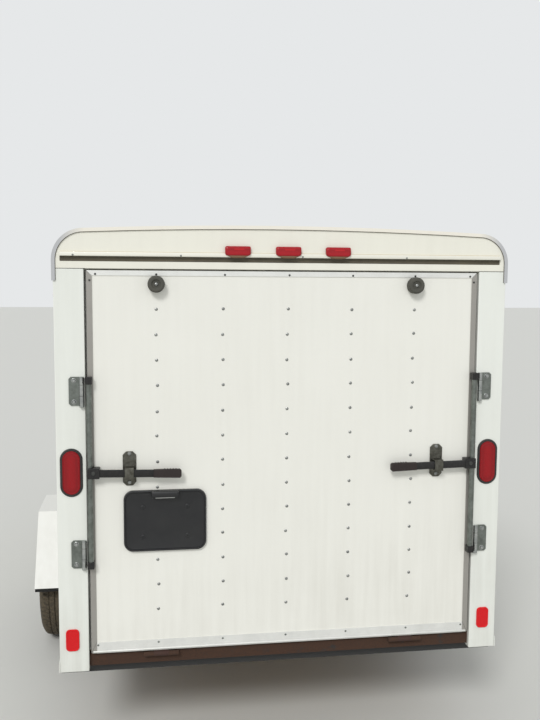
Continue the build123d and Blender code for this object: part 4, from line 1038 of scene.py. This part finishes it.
# %% [markdown]
# ## Rivets and seams of the side and front walls
# The wall sheets lap every 1220 mm and are riveted to posts 406 mm apart, and along their top and bottom
# edges. The laps are thin raised strips, and the rivets are the same domed heads, turned sideways. The
# places are worked out as arrays, and those that fall on the side door or the fender are left out.

# %% Side walls
wall_low, wall_high = low("wall_left"), high("wall_left")
frame_low, frame_high = low("side_door_frame"), high("side_door_frame")
fender_low, fender_high = low("fenders"), high("fenders")
fender_half = (fender_high[1] - fender_low[1]) / 2
wall_rivet = ((6, -0.4), (5.8, 0.8), (3.8, 2), (0, 2.5))
post_y = np.arange(rear + 0.05 + 0.100, wall_high[1], 4 * PITCH)
column_y, column_z = np.meshgrid(post_y, np.arange(wall_low[2] + 0.075, wall_high[2] - 0.03, PITCH))
edge_y = np.arange(rear + 0.10, wall_high[1] - 0.02, PITCH)
all_y = np.concatenate([column_y.ravel(), edge_y, edge_y])
all_z = np.concatenate([column_z.ravel(), np.full(len(edge_y), wall_high[2] - 0.020),
                        np.full(len(edge_y), wall_low[2] + 0.055)])
base = (np.abs(all_y - axle_y) > fender_half + 0.02) | (all_z > fender_high[2] + 0.02)
base &= np.all([np.hypot(all_y - y, all_z - marker_z) > 0.05 for y in (red_y, amber_y)], axis=0)
on_door = ((all_y > frame_low[1] - 0.012) & (all_y < frame_high[1] + 0.012) & (all_z > frame_low[2] - 0.012)
           & (all_z < frame_high[2] + 0.012))
wall_rivets = []
for side, chosen in ((1, base & ~on_door), (-1, base)):
    places = np.stack([np.full(all_y.size, side * half_width), all_y, all_z], -1)[chosen]
    wall_rivets.append(studs(places, side * X, wall_rivet, 8))
piece("wall_rivets", joined(*wall_rivets), "panel_enamel")

# %% Laps of the wall sheets
laps = []
for side in SIDES:
    for y in (post_y[0] + 3 * 4 * PITCH, post_y[0] + 6 * 4 * PITCH):
        bottom = wall_low[2] + 0.044 if abs(y - axle_y) > 0.48 else fender_high[2] + 0.004
        if side > 0 and frame_low[1] - 0.03 < y < frame_high[1] + 0.03:
            continue
        spot, tall = (side * half_width, y, (bottom + wall_high[2]) / 2), wall_high[2] - bottom - 0.004
        laps.append(stacked(spot, side * Y, Z, (30, tall / MM), 1, [(0, -0.4), (0, 0.6), (0.6, 1.1)], 1))
piece("wall_laps", joined(*laps), "panel_enamel")

# %% Front wall
guard_high = high("stone_guard")[2]
place_x, place_z = np.meshgrid(np.arange(-6 * PITCH, 0.62, 4 * PITCH),
                               np.arange(guard_high + 0.06, wall_high[2] - 0.02, PITCH))
front_places = np.stack([place_x.ravel(), np.full(place_x.size, front), place_z.ravel()], -1)
guard_places = [(x, front + 0.003, guard_high - 0.015) for x in np.arange(-0.70, 0.71, 0.14)]
piece("front_rivets", studs(front_places, Y, wall_rivet, 8), "panel_enamel")
piece("guard_screws", studs(guard_places, Y, wall_rivet, 8), "rivet_aluminium")

# %% [markdown]
# ## Screws of the coves, trims and side door
# The coves and the lower trims are screwed to the frame about every 300 mm. The side door's frame has
# screws down both its sides, and its latch has a lock cylinder. Its hinge is rolled in knuckles 60 mm long.

# %% Side screws and latch details
side_screw = ((5, -0.4), (4.8, 1), (3, 2), (0, 2.3))
right_spots = [(high("coves")[0], y, low("coves")[2] + 0.025)
               for y in np.arange(rear + 0.12, wall_high[1] - 0.04, 3 * PITCH)]
right_spots += [(half_width + 0.004, y, low("side_trims")[2] + 0.021)
                for y in np.arange(rear + 0.06, wall_high[1] - 0.03, 3 * PITCH)
                if abs(y - axle_y) > fender_half + 0.03]
left_spots = [(-x, y, z) for x, y, z in right_spots]
right_spots += [(half_width + 0.003, y, z) for y in (frame_low[1] + 0.014, frame_high[1] - 0.014)
                for z in np.arange(frame_low[2] + 0.06, frame_high[2] - 0.04, 0.28)]
piece("side_screws", joined(studs(right_spots, X, side_screw, 8), studs(left_spots, -X, side_screw, 8)),
      "rivet_aluminium")

_, latch_y, latch_z = low("side_door_fittings") + (0, 0.050, 0.665)
key_z = latch_z - 0.042
cylinder = turned((half_width + 0.003, latch_y, key_z), X, ((12, -1), (12, 4), (10.5, 5.6), (0, 5.6)), 28)
keyway = stacked((half_width + 0.0084, latch_y, key_z), Y, Z, (2.2, 11), 0.8, [(0, -0.4), (0, 0.6)], 2)
piece("side_lock_cylinder", cylinder, "bright_zinc", "side_door")
piece("side_lock_keyway", keyway, "dark_gap", "side_door")

hinge_x, hinge_y = half_width + 0.0093, high("side_door")[1] + 0.0035
hinge_line = ((5.8, -0.7), (6.3, -0.5), (6.3, 0.5), (5.8, 0.7))
line_heights = np.arange(low("side_door")[2] + 0.06, high("side_door")[2] - 0.02, 0.06)
piece("side_hinge_lines", studs([(hinge_x, hinge_y, z) for z in line_heights], Z, hinge_line, 18), "dark_zinc")

# %% [markdown]
# ## Running gear and tongue
# U-bolts clamp the axle under the springs, with plates and nuts below. The crank of the jack has a
# turned plastic grip, and the coupler's latch has a pin.

# %% U-bolts and spring plates
spring_x = half_width - 0.003 - 0.0255
tube_z = axle_z - 0.102
seat_z = tube_z + 0.030
rod = oval(5.5, 5.5, 10)
clamp_nut = ((0, -1), (9.5, -1), (9.5, 6), (8.2, 8), (0, 8))
clamps = []
for side in SIDES:
    x = side * spring_x
    for y in (axle_y - 0.038, axle_y + 0.038):
        for step in (-0.029, 0.029):
            clamps.append(carried(np.linspace((x + step, y, tube_z - 0.048), (x + step, y, seat_z + 0.026), 3), rod, X))
        bridge = np.linspace((x - 0.031, y, seat_z + 0.0265), (x + 0.031, y, seat_z + 0.0265), 3)
        clamps.append(carried(bridge, rod, Y))
    clamps.append(stacked((x, axle_y, tube_z - 0.030), X, Y, (80, 110), 8, [(0, -9), (0, -1), (1, 0)], 4))
    nut_spots = [(x + step, axle_y + y, tube_z - 0.039) for step in (-0.029, 0.029) for y in (-0.038, 0.038)]
    clamps.append(studs(nut_spots, -Z, clamp_nut, 6))
piece("spring_clamps", joined(*clamps), "chassis_black")

# %% Painted shade under the fenders, jack grip and coupler pin
# a dark strip under each end of each fender is painted shade, where the fender's lip keeps the light off
shade_x, shade_size = (half_width + fender_high[0]) / 2, ((fender_high[0] - half_width - 0.006) / MM, 18)
shade_strips = [stacked((side * shade_x, y, fender_low[2] - 0.008), X, Z, shade_size, 2, [(0, -4), (0, 0)], 2) for side in SIDES
        for y in (fender_low[1] + 0.002, fender_high[1] - 0.006)]
piece("fender_painted_shade", joined(*shade_strips), "dark_gap")

crank_high = high("jack_tube")
grip = [(0, 0), (9.8, 0), (10, -3), (11.2, -20), (12.5, -45), (11.2, -70), (10.6, -82), (10.4, -89.5), (0, -89.5)]
grip_top = (crank_high[0] - 0.010, middle("jack_tube")[1], crank_high[2])
piece("jack_grip", turned(grip_top, Z, grip, 28), "black_plastic")
_, coupler_y, coupler_z = high("coupler")
pin = turned((0, coupler_y - 0.0318 - 0.060, coupler_z - 0.022), X, ((0, -16), (6, -16), (6, 16), (0, 16)), 20)
piece("coupler_pin", pin, "bright_zinc")

# %% [markdown]
# ## Lining
# Inside, the walls are lined with the same thin plywood as the deck. Each sheet is a flat slab 3 mm thick
# set on the inner face of its wall.


# %% Plywood lining
def lining_sheet(side, start, end):
    """A sheet of a side wall, from start to end along the trailer."""
    spot = (side * (half_width - 0.038 - 0.003), (start + end) / 2, (lining_low + lining_high) / 2)
    return stacked(spot, -side * Y, Z, ((end - start) / MM, lining_tall), 1, slab, 1)


slab = [(0, -2.8), (0, 0)]
lining_low, lining_high = 0.506, wall_high[2]
lining_tall = (lining_high - lining_low) / MM
lining_back, lining_front = door_thick + 0.052, front - 0.150
front_sheet = stacked((0, front - 0.041, (lining_low + lining_high) / 2), X, Z,
                      (2 * (half_width - 0.150) / MM, lining_tall), 1, slab, 1)
lining = joined(lining_sheet(-1, lining_back, lining_front), lining_sheet(1, lining_back, frame_low[1] + 0.024),
                lining_sheet(1, frame_high[1] - 0.024, lining_front), front_sheet)
piece("wall_lining", lining, "upright_plywood")

# %% [markdown]
# ## Floor, backdrop and light
# The trailer stands on a plain pale floor under a soft, even light: a pale world all round, and one
# large soft sun from behind the camera's left shoulder, which gives the rivets and edges a little shade.
# What the camera and the reflections see of the world is a plain pale colour, set apart from its light.

# %% Floor
reach = 60.0
floor_mesh = bpy.data.meshes.new("studio_floor")
floor_corners = [(-reach, -reach, 0), (reach, -reach, 0), (reach, reach, 0), (-reach, reach, 0)]
floor_mesh.from_pydata(floor_corners, [], [(0, 1, 2, 3)])
floor = placed("studio_floor", floor_mesh)
_, shader, _ = new_material("floor_paint")
fill(shader, {"Base Color": "#cfcfca", "Roughness": 0.9})
floor_mesh.materials.append(made_here["floor_paint"])

# %% World and sun
world = bpy.data.worlds.new("studio")
world.use_nodes = True
tree = world.node_tree
tree.nodes.clear()
rays = add(tree, "LightPath").outputs
direct = add(tree, "Math", {0: rays["Is Camera Ray"], 1: rays["Is Transmission Ray"]}, operation="MAXIMUM")
seen = add(tree, "Math", {0: direct, 1: rays["Is Glossy Ray"]}, operation="MAXIMUM")
light_sky = add(tree, "Background", {"Color": "#f2f4f6", "Strength": 0.76})
plain_sky = add(tree, "Background", {"Color": "#e6e8e9", "Strength": 1.0})
add(tree, "OutputWorld", {"Surface": add(tree, "MixShader", {0: seen, 1: light_sky, 2: plain_sky})})
bpy.context.scene.world = world

sun_data = bpy.data.lights.new("soft_sun", "SUN")
sun_data.energy = 1.62
sun_data.angle = math.radians(16)
sun = placed("soft_sun", sun_data)
sun.rotation_euler = (math.radians(52), 0.0, math.radians(-24))
print("sun", sun_data.energy, "W/m2")
